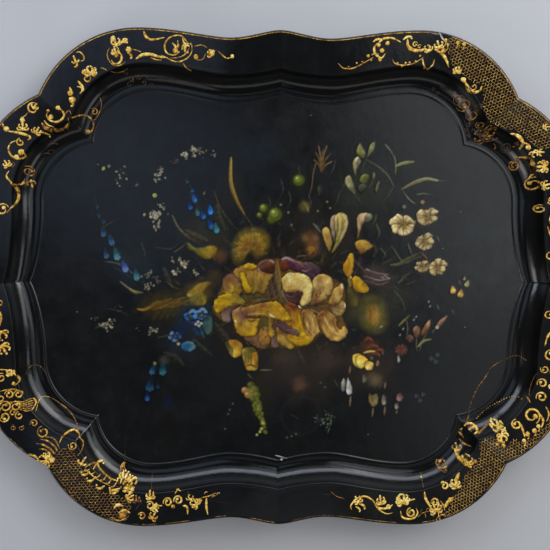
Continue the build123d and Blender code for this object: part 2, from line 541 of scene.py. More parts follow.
def near_line(grid, line):
    """For each grid point: distance to a line, the share along it, and the side it lies on."""
    best = np.full(grid.shape[:2], 1e9)
    share, side = np.zeros_like(best), np.zeros_like(best)
    step = np.hypot(*(line[1:] - line[:-1]).T)
    start = np.r_[0, np.cumsum(step)]
    for k in range(len(line) - 1):
        d = line[k + 1] - line[k]
        r = grid - line[k]
        t = np.clip((r @ d) / max(d @ d, 1e-9), 0, 1)
        off = r - t[..., None] * d
        dist = np.hypot(off[..., 0], off[..., 1])
        closer = dist < best
        best = np.where(closer, dist, best)
        share = np.where(closer, (start[k] + t * step[k]) / start[-1], share)
        side = np.where(closer, np.sign(d[0] * off[..., 1] - d[1] * off[..., 0]), side)
    return best, share, side


def inside(grid, border):
    """Signed distance to a closed border, positive inside."""
    loop = np.vstack([border, border[:1]])
    dist, _, _ = near_line(grid, loop)
    x, y = grid[..., 0], grid[..., 1]
    odd = np.zeros(x.shape, bool)
    for (x0, y0), (x1, y1) in zip(loop[:-1], loop[1:]):
        if y0 == y1:
            continue
        crosses = (y0 > y) != (y1 > y)
        odd ^= crosses & (x < (x1 - x0) * (y - y0) / (y1 - y0) + x0)
    return np.where(odd, dist, -dist)


def waves(grid, size, seed):
    """Smooth noise over a grid of points."""
    return waviness(grid[..., 0], grid[..., 1], size, seed, 6, 0.6, 3.5)


# ------------------------------------------------------------------------------- painting tools

def tint(*rgb):
    """A paint colour from its 0 to 255 screen values."""
    return np.array(rgb, float) / 255


def mixed(colour):
    """A colour given as three screen values, or mixed before."""
    return tint(*colour) if isinstance(colour, tuple) else colour


def blend(share, a, b):
    """Colour between two paints at each grid point."""
    return a + (b - a) * share[..., None]


SHADOW = tint(30, 19, 12)
WARMING = np.array([0.7, 1.0, 1.3])  # how far clouds in the paint change red, green and blue


def petal(canvas, points, root, tip, heart, soft=0.7, strength=1.0, rim=0.13, streak=0.07,
          grow=0.0):
    """A petal shaded from its heart outwards, with brush marks, a lit side and a dark outline."""
    root, tip = mixed(root), mixed(tip)
    shape = curve(points, 6, closed=True)
    where, grid = canvas.window(shape, 3.5 + soft + grow)
    seed = int(abs(shape[0, 0] * 13 + shape[0, 1] * 7)) + len(shape)
    ragged = np.stack([waves(grid, 7, seed + 2), waves(grid, 7, seed + 3)], -1)
    depth = inside(grid + ragged * min(0.8, 0.3 + grow), shape) + grow
    canvas.lay(where, SHADOW, smooth(depth, -2.2, 1.0) * 0.68 * strength * (soft < 1.5))
    away = grid - heart
    reach = np.hypot(away[..., 0], away[..., 1])
    near, far = (reach[depth > 0].min(), reach[depth > 0].max()) if (depth > 0).any() else (0, 1)
    cloud = waves(grid, 15, seed + 4)
    share = smooth(reach + 0.12 * (far - near) * cloud, near - 0.15 * (far - near), far)
    turn = np.arctan2(away[..., 1], away[..., 0])
    brush = np.stack([turn * (near + far) / 2 + 0.8 * cloud, reach * 0.22], -1)
    marks = 0.55 * waves(brush, 3.6, seed) + 0.45 * waves(grid, 6, seed + 1)
    rise_y, rise_x = np.gradient(depth, canvas.pitch)
    lit = 0.5 * rise_x - 0.87 * rise_y
    edge = np.exp(-(np.clip(depth, 0, None) / 2.4)**2)
    crease = np.exp(-(np.clip(depth, 0, None) / 1.3)**2)
    light = streak * 1.6 * marks + rim * 2 * lit * edge - 1.4 * rim * crease
    colour = blend(share, root, tip) * (1 + light[..., None])
    colour = colour * (1 + 0.13 * cloud[..., None] * WARMING)
    canvas.lay(where, np.clip(colour, 0, 1), smooth(depth, -soft, soft) * strength,
               PETAL_BODY * (0.7 + 0.3 * marks + 0.5 * lit * edge))


def stroke(canvas, points, width, colour, end=None, alpha=1.0, soft=0.5, belly=0.5, two_tone=0.0):
    """A brush stroke that swells to its width and tapers to both ends."""
    line = curve(points, 9)
    where, grid = canvas.window(line, width + 1 + soft)
    dist, share, side = near_line(grid, line)
    swell = np.clip(share / belly, 0, 1) * np.clip((1 - share) / (1 - belly), 0, 1)
    half = width / 2 * (0.22 + 0.78 * np.sqrt(swell))
    paint = blend(share, mixed(colour), mixed(colour if end is None else end))
    paint = paint + (two_tone * side * smooth(dist, 0, 0.6))[..., None]
    paint = paint + 0.05 * waves(grid, 5, 9)[..., None]
    mask = (1 - smooth(dist, half - soft, half + soft)) * alpha
    if soft > 1:
        mask = mask * smooth(share, -0.01, 0.04) * (1 - smooth(share, 0.96, 1.01))
    canvas.lay(where, np.clip(paint, 0, 1), mask, STROKE_BODY)


def dab(canvas, centre, size, colour, alpha=1.0, angle=0.0, ratio=1.0, soft=0.5, gleam=0.0):
    """An oval touch of paint, with an optional gleam on its upper left."""
    centre = np.array(centre, float)
    where, grid = canvas.window(centre[None], size * 1.6 + soft)
    away = grid - centre
    c, s = direction(angle)
    u = away[..., 0] * c + away[..., 1] * s
    v = (-away[..., 0] * s + away[..., 1] * c) / ratio
    dist = np.hypot(u, v) - size
    x, y = away[..., 0] + 0.35 * size, away[..., 1] - 0.35 * size
    shine = np.exp(-(x**2 + y**2) / (0.5 * size)**2)
    colour = mixed(colour) + (gleam * shine - 0.25 * gleam * (1 - shine))[..., None]
    canvas.lay(where, np.clip(colour, 0, 1), (1 - smooth(dist, -soft, soft)) * alpha, DAB_BODY)


def haze(canvas, centre, reach, colour, alpha, squash=1.0, angle=0.0):
    """A thin glaze that fades out all round."""
    centre = np.array(centre, float)
    where, grid = canvas.window(centre[None], reach * max(1, squash))
    away = grid - centre
    c, s = direction(angle)
    u = (away[..., 0] * c + away[..., 1] * s) / squash
    v = -away[..., 0] * s + away[..., 1] * c
    fade = np.clip(1 - np.hypot(u, v) / reach + 0.12 * waves(grid, reach * 0.7, 5), 0, 1)
    canvas.lay(where, mixed(colour), smooth(fade) * alpha)


def teardrop(centre, angle, length, width, start=0.0):
    """Outline of a rounded petal that leaves a centre at an angle in degrees."""
    along = direction(angle)
    across = np.array([-along[1], along[0]])
    sides = [(0.0, 0.12), (0.35, 0.36), (0.7, 0.5), (0.93, 0.34)]
    points = sides + [(1.0, 0.0)] + [(t, -w) for t, w in reversed(sides)]
    return [centre + along * (start + (length - start) * t) + across * width * w
            for t, w in points]


def blossom(canvas, centre, size, count, root, tip, turn=0.0, squash=1.0, seed=1):
    """A small open flower of loose, uneven petals round an ochre heart."""
    rng = np.random.default_rng(seed)
    centre, root, tip = np.array(centre, float), mixed(root), mixed(tip)
    haze(canvas, centre, size * 1.25, root * 0.4, 0.8)
    for k in range(count):
        angle = turn + 360 * k / count + rng.uniform(-16, 16)
        reach = size * rng.uniform(0.72, 1.08)
        width = size * 0.95 * rng.uniform(0.7, 1.05)
        shape = np.array(teardrop(np.zeros(2), angle, reach, width, 0.1 * size))
        shape = (shape + rng.normal(0, 0.035 * size, shape.shape)) * (1, squash) + centre
        shade = rng.uniform(0.78, 1.0)
        petal(canvas, shape, root * shade, tip * shade, centre, soft=0.6, streak=0.12)
        out = direction(angle) * (1, squash) * reach
        stroke(canvas, [centre + out * 0.45, centre + out * 0.92], size * 0.16, tip * shade,
               np.clip(tip * 1.12, 0, 1), 0.7, soft=0.6)
        stroke(canvas, [centre + out * 0.1, centre + out * 0.5], size * 0.12, root * 0.55,
               root * 0.8, 0.7, soft=0.6)
    for k in range(7):
        spot = centre + size * 0.14 * np.array([math.cos(k * 1.9), math.sin(k * 1.9) * squash])
        dab(canvas, spot, 0.09 * size, (tint(150, 116, 44), tint(92, 74, 34))[k % 2], 0.8)


def spray(canvas, centre, spread, count, seed, colour, size=1.9, ratio=1.0, angle=0.0):
    """A cluster of tiny round blossoms."""
    rng = np.random.default_rng(seed)
    c, s = direction(angle)
    for _ in range(2 * count):
        u, v = rng.normal(0, 0.5, 2) * (spread, spread * ratio)
        spot = (centre[0] + u * c - v * s, centre[1] + u * s + v * c)
        shade = rng.uniform(0.5, 1.08)
        reach = size * rng.uniform(0.35, 0.85)
        dab(canvas, spot, reach, mixed(colour) * shade, 0.9, rng.uniform(0, 180), 0.75, 0.6, 0.12)
        dab(canvas, spot, 0.5, (70, 55, 35), 0.6)


def bell(canvas, top, length, angle, colour, pale, alpha=1.0, wide=0.6):
    """A hanging bell flower, deep at its neck, with a few pale strokes at its lip."""
    top, colour, pale = np.array(top, float), mixed(colour), mixed(pale)
    along = direction(angle)
    across = np.array([-along[1], along[0]])
    haze(canvas, top + along * length * 0.6, length * 0.8, colour * 0.45, 0.8 * alpha)
    petal(canvas, teardrop(top, angle, length, length * wide), colour * 0.75, colour, top,
          soft=0.8, strength=alpha)
    for side, reach in ((-0.55, 0.92), (0.0, 1.0), (0.5, 0.85)):
        lip = top + along * length * reach * 0.95 + across * length * wide * 0.5 * side
        fold = top + along * length * 0.4 + across * length * wide * 0.25 * side
        stroke(canvas, [fold, lip], length * 0.15, colour, pale, 0.85 * alpha, belly=0.8)


def berry(canvas, centre, size, colour):
    """A round berry, darker below, with a small light on its shoulder."""
    (x, y), colour = centre, mixed(colour)
    haze(canvas, centre, size * 2.2, colour * 0.4, 0.7)
    dab(canvas, centre, size, colour * 0.62, 0.95, soft=1.2)
    dab(canvas, (x - 0.15 * size, y + 0.2 * size), size * 0.62, colour, 0.85, soft=1.6, gleam=0.1)
    dab(canvas, (x - 0.3 * size, y + 0.42 * size), 0.16 * size, (196, 204, 130), 0.8, soft=0.6)


# ---------------------------------------------------------------------------------- the bouquet

YELLOW, GOLD = tint(202, 156, 24), tint(178, 128, 28)
OCHRE, STRAW = tint(146, 108, 42), tint(206, 164, 78)
RUST, ROSE, MAUVE = tint(122, 66, 32), tint(158, 104, 66), tint(112, 80, 78)
OLIVE, MOSS, SAGE = tint(104, 98, 42), tint(52, 50, 26), tint(104, 106, 74)
TEAL, SLATE = tint(50, 92, 92), tint(44, 70, 98)
WHITE, GREY = tint(208, 203, 192), tint(92, 92, 84)


def paint_glazes(c):
    """Thin dark glazes that lie behind the flowers."""
    for glaze in (
            ((6, -28), 92, (74, 58, 44), 0.75, 1.15), ((30, -118), 62, (66, 56, 48), 0.6, 1.3),
            ((118, -112), 46, (72, 58, 44), 0.6, 1.1), ((-118, -38), 52, (58, 52, 40), 0.6, 1.4),
            ((-92, 62), 50, (64, 58, 34), 0.55, 0.8, 60),
            ((-60, 118), 40, (54, 46, 30), 0.4, 0.6), ((60, 60), 60, (62, 54, 42), 0.5, 1.2),
            ((112, 118), 52, (58, 62, 44), 0.45, 1.1), ((136, -18), 40, (66, 62, 50), 0.6, 1.3),
            ((-190, 20), 46, (46, 56, 62), 0.45, 0.9), ((-24, -150), 40, (52, 48, 28), 0.5, 0.6),
            ((-126, -84), 36, (48, 54, 58), 0.5, 1.3), ((28, -136), 16, (120, 84, 62), 0.7),
            ((44, 45), 15, (176, 112, 62), 0.65), ((42, 38), 9, (206, 140, 58), 0.6),
            ((62, -100), 30, (84, 66, 52), 0.5), ((8, -98), 22, (92, 76, 62), 0.5, 1.2),
            ((-28, 166), 30, (40, 52, 60), 0.3, 1.5)):
        haze(c, *glaze)


def paint_leaves(c):
    """Blades, stems and leaves round the flowers."""
    blades = [
        ([(-62, 160), (-62, 128), (-54, 104), (-44, 86)], 5.0, (178, 150, 66), (120, 88, 30),
         0.95), ([(-44, 86), (-34, 72), (-26, 62)], 1.8, (90, 80, 50), MOSS, 0.7),
        ([(-84, 118), (-76, 96), (-62, 76), (-48, 62)], 2.2, (92, 84, 44), MOSS, 0.7),
        ([(-80, 100), (-78, 84), (-70, 66)], 9, (74, 68, 34), MOSS, 0.55),
        ([(-138, 86), (-130, 70), (-118, 58), (-104, 50)], 3.2, (110, 108, 80), (76, 66, 44), 0.8),
        ([(-120, 66), (-108, 58), (-92, 52)], 11, (74, 66, 46), (60, 52, 38), 0.65),
        ([(158, 120), (172, 128), (190, 134), (206, 132)], 4.6, (112, 98, 60), (164, 156, 100),
         0.9), ([(206, 132), (222, 131)], 1.2, (110, 104, 74), MOSS, 0.6),
        ([(178, 114), (188, 115), (200, 112)], 1.4, (150, 154, 118), MOSS, 0.75),
        ([(160, 118), (168, 108), (176, 102)], 1.6, (96, 98, 72), (160, 160, 130), 0.75),
        ([(112, 158), (126, 150), (140, 138), (148, 124)], 2.6, (80, 82, 56), (104, 104, 78), 0.7),
        ([(148, 124), (140, 112), (132, 104)], 1.8, (90, 92, 70), MOSS, 0.6),
        ([(148, 164), (150, 152), (150, 140)], 1.8, (112, 114, 76), (120, 122, 70), 0.8),
        ([(136, 178), (144, 168), (148, 158)], 2.2, (150, 154, 140), MOSS, 0.7),
        ([(150, 150), (160, 154), (174, 156)], 4.4, (150, 148, 96), (120, 122, 60), 0.9),
        ([(38, 110), (42, 124), (44, 142), (48, 156)], 1.2, (110, 84, 44), (150, 118, 66), 0.8),
        ([(146, 48), (162, 26), (176, 30), (186, 34)], 2.6, (96, 92, 62), (84, 84, 56), 0.6),
        ([(146, 22), (158, 24), (172, 32), (184, 38)], 5.0, (110, 106, 62), (66, 64, 42), 0.7),
        ([(156, -2), (166, 8), (174, 14)], 3.0, (112, 112, 92), MOSS, 0.6),
        ([(166, -4), (176, 0), (186, 4)], 2.0, (90, 92, 76), MOSS, 0.5),
        ([(150, -10), (162, -26), (166, -44)], 2.6, (96, 98, 84), MOSS, 0.5),
        ([(158, -58), (166, -50), (172, -44)], 3.2, (126, 132, 62), (92, 96, 44), 0.85),
        ([(184, -86), (192, -78), (202, -76)], 3.2, (170, 164, 80), (110, 112, 54), 0.9),
        ([(168, 50), (172, 38), (175, 30)], 2.6, (120, 116, 96), MOSS, 0.65),
        ([(126, 76), (130, 64), (126, 56)], 3.0, (96, 100, 60), MOSS, 0.7),
        ([(132, 44), (138, 36), (134, 30)], 2.4, (104, 108, 76), MOSS, 0.6),
        ([(-226, 26), (-206, 22), (-192, 12), (-180, 4)], 3.6, (84, 78, 66), (124, 116, 90), 0.75),
        ([(-214, 18), (-198, 8), (-182, -2)], 2.0, (70, 62, 56), MOSS, 0.6),
        ([(-206, 0), (-196, -8), (-188, -12)], 2.2, (150, 140, 104), (130, 120, 66), 0.8),
        ([(-194, -10), (-186, -14), (-176, -15)], 4.2, (168, 158, 84), (84, 76, 48), 0.85),
        ([(-176, 0), (-172, -10), (-164, -20)], 2.0, (92, 76, 66), MOSS, 0.6),
        ([(-150, 18), (-146, 6), (-140, -8)], 9, (66, 64, 54), MOSS, 0.55),
        ([(-146, 0), (-136, -8), (-124, -12)], 2.2, (110, 102, 64), MOSS, 0.7),
        ([(-222, -36), (-206, -40), (-196, -46)], 2.2, (80, 74, 66), MOSS, 0.5),
        ([(-230, -56), (-240, -62)], 3.4, (88, 86, 84), MOSS, 0.6),
        ([(-158, -74), (-140, -70), (-124, -66)], 2.2, (96, 88, 70), MOSS, 0.6),
        ([(-112, -76), (-100, -88), (-88, -98)], 8, (62, 66, 60), MOSS, 0.5),
        ([(-150, -94), (-136, -100), (-124, -112)], 9, (60, 58, 50), MOSS, 0.5),
        ([(-84, -54), (-70, -74), (-56, -94)], 11, (70, 60, 44), (56, 52, 44), 0.6),
        ([(-40, -122), (-34, -130)], 3.2, (110, 92, 76), MOSS, 0.7),
        ([(-24, -117), (-14, -117), (-8, -117)], 2.2, (140, 136, 120), GREY, 0.8),
        ([(26, -92), (32, -104), (36, -116)], 4.6, (84, 86, 56), MOSS, 0.6),
        ([(50, -82), (54, -94)], 3.0, (86, 82, 62), MOSS, 0.5),
        ([(74, -130), (80, -142)], 2.6, (98, 84, 70), MOSS, 0.6),
        ([(60, -170), (68, -180)], 2.0, (76, 84, 70), MOSS, 0.5),
        ([(16, -176), (28, -184)], 1.8, (70, 66, 58), MOSS, 0.5),
        ([(-178, 50), (-174, 36), (-176, 28)], 2.2, (92, 84, 72), MOSS, 0.6),
        ([(-160, 44), (-140, 42), (-126, 52)], 2.0, (78, 68, 54), MOSS, 0.55),
        ([(-136, 38), (-126, 44), (-118, 52)], 2.0, (120, 112, 88), MOSS, 0.6),
        ([(-230, 68), (-216, 76), (-206, 80)], 1.8, (104, 104, 92), MOSS, 0.5),]
    for points, width, colour, end, alpha in blades:
        stroke(c, points, width, colour, end, alpha, soft=0.7, two_tone=0.05)
    tuft = np.array([54.0, 142.0])
    for k, (dx, dy) in enumerate([(-8, 26), (-4, 34), (2, 30), (7, 34), (12, 24), (14, 14),
            (-10, 16)]):
        stroke(c, [tuft, tuft + (dx * 0.35, dy * 0.6), tuft + (dx, dy)], 2.0, (96, 66, 34),
            tint(158, 122, 70) if k % 2 else tint(120, 96, 60), 0.8)
    for x, y in [(72, 158), (86, 136), (78, 118)]:
        stroke(c, [(x, y), (x - 3, y - 12), (x - 8, y - 22)], 1.4, (92, 94, 84), MOSS, 0.6)
    for x, y, length in [(2, 132, 26), (12, 118, 24), (24, 150, 30), (38, 112, 20),
            (-14, 110, 18)]:
        stroke(c, [(x, y), (x + 3, y - length / 2), (x - 2, y - length)], 1.2, (96, 108, 84), MOSS,
            0.6)


def paint_back_flowers(c):
    """The soft, half-hidden blooms behind the rose."""
    kidney = [(-57, 25), (-60, 38), (-55, 57), (-43, 68), (-24, 68), (-13, 58), (-14, 42),
        (-22, 33), (-32, 31), (-38, 37), (-43, 30), (-50, 24)]
    petal(c, kidney, (96, 82, 36), (110, 92, 34), (-36, 44), soft=5, rim=0)
    petal(c, [(-52, 32), (-53, 46), (-46, 60), (-30, 64), (-18, 58), (-18, 44), (-26, 36),
        (-36, 42), (-45, 32)], (148, 108, 46), (156, 124, 40), (-37, 42), soft=2.4, streak=0.16,
        rim=0)
    for k in range(30):
        out = direction(-30 + 235 * k / 29)
        start = np.array([-37.0, 42.0]) + out * (5 + k % 4)
        stroke(c, [start, start + out * (8 + 4 * (k % 3))], 2.4, (122, 78, 26),
            tint(206, 164, 72) if k % 3 else tint(170, 130, 40), 0.6, soft=0.8)
    haze(c, (-38, 31), 9, (34, 30, 24), 0.95, 1.1)
    dab(c, (-34, 68), 2.0, (120, 120, 88), 0.6)
    haze(c, (33, 98), 11, (112, 96, 50), 0.85)
    stroke(c, [(31, 104), (36, 98), (38, 91)], 3.4, (120, 100, 60), (166, 144, 92), 0.7, soft=0.9)
    haze(c, (40, 56), 18, (112, 74, 44), 0.8)
    for x, y, tone in ((34, 56, (150, 112, 60)), (47, 57, (150, 100, 66)),
            (42, 48, (140, 84, 46))):
        haze(c, (x, y), 8, tone, 0.8)
    dab(c, (41.5, 43.5), 4.6, (176, 124, 40), 0.9, ratio=0.7, soft=1.4)
    haze(c, (26, 50), 14, (44, 46, 44), 0.6)
    # a loose yellow flower and its feathered leaf at the left of the rose
    haze(c, (-104, -14), 24, (96, 78, 34), 0.9, 1.15, 30)
    petal(c, [(-119, -17), (-112, -9), (-102, -2), (-88, -1), (-93, -7), (-98, -14), (-97, -22),
        (-108, -24)], OCHRE, (160, 130, 44), (-98, -16), soft=1.6, rim=0.08)
    petal(c, [(-112, -18), (-102, -16), (-94, -20), (-96, -30), (-106, -32), (-116, -27)], OLIVE,
        (150, 120, 40), (-98, -14), soft=1.8, rim=0.08)
    stroke(c, [(-100, -20), (-96, -26), (-99, -30)], 3.4, (160, 124, 30), (196, 156, 60), 0.8,
        soft=0.8)
    dab(c, (-117, -18), 2.6, (176, 166, 90), 0.9)
    haze(c, (-150, -30), 24, (76, 62, 26), 0.85, 1.9, 6)
    for k in range(26):
        x = -172 + 2.1 * k
        lift = 4.2 * math.sin(k * 2.3)
        stroke(c, [(x, -35 + 0.3 * k + lift * 0.2), (x + 6, -33 + 0.3 * k + lift),
            (x + 14, -29 + 0.22 * k + lift * 1.2)], 2.6, (112, 78, 24),
            tint(160, 132, 54) if k % 2 else tint(112, 86, 30), 0.6, soft=0.9)
    stroke(c, [(-184, -36), (-176, -37), (-166, -33), (-158, -30)], 4.0, (190, 146, 42),
        (100, 66, 26), 0.9)
    for dx, dy in ((0, 0), (9, 2), (18, 4), (26, 6)):
        stroke(c, [(-156 + dx, -40 + dy), (-162 + dx, -48 + dy), (-166 + dx, -55 + dy)], 3.4,
            (84, 68, 32), MOSS, 0.6, soft=0.9)
    # a curled yellow leaf above it
    petal(c, [(-122, 52), (-113, 45), (-100, 44), (-88, 47), (-80, 44), (-82, 34), (-92, 29),
        (-102, 32), (-110, 38), (-117, 42)], (80, 74, 28), (150, 122, 36), (-112, 48), soft=1.2,
        streak=0.12)
    stroke(c, [(-118, 50), (-110, 43), (-100, 40)], 3.2, (150, 156, 70), (110, 104, 40), 0.8,
        soft=0.8)
    haze(c, (-90, 38), 10, (176, 140, 40), 0.8, 1.2)
    haze(c, (-76, 34), 14, (110, 72, 40), 0.75)
    haze(c, (-84, 6), 18, (74, 60, 36), 0.8)
    # the blurred olive bloom at the right of the rose
    haze(c, (108, -38), 34, (74, 70, 42), 0.95, 0.85, 90)
    petal(c, [(108, -26), (120, -18), (134, -22), (141, -36), (143, -54), (134, -66), (118, -66),
        (108, -52)], (112, 98, 44), (84, 78, 42), (127, -46), soft=6, strength=0.9, rim=0)
    petal(c, [(118, -34), (126, -30), (132, -36), (133, -50), (128, -58), (119, -54), (116, -44)],
        (178, 134, 58), (140, 108, 48), (126, -46), soft=4.4, rim=0)
    stroke(c, [(119, -32), (121, -42), (120, -54)], 2.8, (122, 74, 24), (150, 98, 34), 0.7,
        soft=1.0)
    stroke(c, [(133, -60), (137, -58)], 2.0, (206, 196, 120), alpha=0.8)
    petal(c, [(92, -2), (100, -8), (106, -22), (103, -34), (95, -32), (89, -18)], (78, 68, 34),
        (104, 92, 44), (94, -6), soft=2.2, strength=0.9)


def paint_tulips(c):
    """Tulip, lily and bud petals above the rose, and the loose petals at its right."""
    petal(c, [(56, 67), (60.5, 71.5), (65, 68), (68, 58), (69, 49), (66, 40), (62, 46), (58, 57)],
        (150, 116, 56), (202, 166, 84), (66, 40))
    petal(c, [(67, 82), (71, 87), (76, 86), (74, 72), (73, 58), (72, 50), (69, 60), (66.5, 71)],
        (90, 70, 66), (176, 148, 112), (72, 44))
    petal(c, [(73, 86), (80, 90), (87, 87), (90, 78), (88, 68), (84, 58), (78, 48), (71, 38),
        (68.5, 39), (73, 50), (74, 62), (72, 74)], (112, 98, 46), (194, 170, 98), (71, 36),
        streak=0.14)
    for points, tone in (
            ([(76, 84), (76, 70), (73, 52)], tint(112, 104, 50)),
            ([(82, 86), (82, 72), (76, 52)], tint(138, 120, 62)),
            ([(87, 84), (87, 72), (80, 54)], tint(214, 190, 138)),
            ([(79, 84), (79, 70), (75, 54)], tint(206, 186, 116))):
        stroke(c, points, 2.6, tone, tone * 0.8, 0.75)
    petal(c, [(101, 82), (104, 88), (111, 90), (117, 88), (114, 80), (109, 76), (106, 66),
        (104, 58), (101.5, 57), (102, 70)], (124, 96, 64), (198, 168, 120), (103, 58))
    petal(c, [(112, 86), (118, 89), (121, 84), (118, 79), (112, 78)], (84, 88, 66), (132, 128, 98),
        (112, 80), soft=0.9)
    stroke(c, [(126, 88), (124, 80), (120, 73)], 3.0, (84, 84, 52), MOSS, 0.7)
    petal(c, [(99, 50), (106, 55), (116, 53), (122, 46), (115, 41), (108, 36), (103, 41)],
        (130, 92, 34), (186, 144, 54), (110, 38), soft=1.0)
    stroke(c, [(118, 50), (124, 46), (127, 38)], 3.0, (84, 84, 50), MOSS, 0.7)
    petal(c, [(87, 27), (92, 37), (97, 36), (98, 25), (96, 11), (91, 5), (84.5, 14), (84, 22)],
        (168, 112, 24), (196, 150, 34), (92, 6))
    stroke(c, [(95, 33), (95, 22), (92, 10)], 3.0, (206, 172, 58), (190, 140, 40), 0.7)
    petal(c, [(95, 3), (101, 8), (109, 2), (118, -8), (115, -14), (102, -13), (97, -6)], GOLD,
        YELLOW, (101, -10))
    petal(c, [(90, 5), (95, 3), (96, -5), (92, -7)], (110, 92, 40), (150, 122, 52), (94, 4))
    dab(c, (94, 6), 1.4, (240, 220, 150), 0.9)
    for points, tone in (
            ([(103, 179), (99, 168), (103, 162), (109, 160), (111, 166), (107, 173)],
             tint(142, 138, 74)),
            ([(123, 180), (117, 178), (114, 168), (113, 161), (117, 164), (122, 172)],
             tint(132, 134, 78)),
            ([(100, 162), (95, 156), (95, 148), (98, 138), (101, 148), (105, 154), (104, 159)],
             tint(172, 160, 112)),
            ([(90, 138), (85, 134), (86, 126), (92, 118), (98, 113), (98, 120), (95, 130)],
             tint(168, 156, 108)),
            ([(106, 138), (112, 140), (116, 136), (113, 128), (107, 127), (104, 132)],
             tint(112, 116, 48)),
            ([(104, 126), (110, 127), (112, 122), (106, 116), (102, 119)], tint(76, 84, 66)),
            ([(121, 142), (124, 139), (123, 133), (120, 134)], tint(122, 120, 62)),
            ([(127, 129), (129, 131), (129, 124), (126, 116), (124, 120)], tint(122, 122, 66)),
            ([(49, 122), (53, 124), (55, 116), (51, 110)], tint(58, 56, 36))):
        petal(c, points, tone * 0.6, tone, points[3], soft=0.7, streak=0.1)
    for line in ([(98, 113), (102, 108), (106, 102)], [(104, 162), (101, 156), (99, 150)],
            [(112, 160), (108, 150), (104, 140)], [(122, 134), (118, 126), (112, 118)]):
        stroke(c, line, 1.5, (84, 84, 52), MOSS, 0.75)
    haze(c, (128, 8), 22, (70, 56, 52), 0.85, 1.5, -14)
    for k, tone in enumerate((tint(140, 118, 116), tint(104, 74, 62), tint(92, 78, 70),
            tint(160, 142, 136), tint(86, 74, 56), tint(118, 96, 90))):
        y = 17 - 2.9 * k
        stroke(c, [(110, y), (120, y - 3), (132, y - 6), (144, y - 7 + k)], 2.2, tone * 0.75, tone,
            0.75)
    for x, y in ((117, 16), (136, 6), (140, 8), (144, 5)):
        stroke(c, [(x - 3, y + 1), (x + 2, y - 1)], 1.6, WHITE * 0.8, alpha=0.8)
    stroke(c, [(98, 30), (108, 18), (118, 6)], 2.4, (84, 66, 60), MAUVE * 0.8, 0.7)


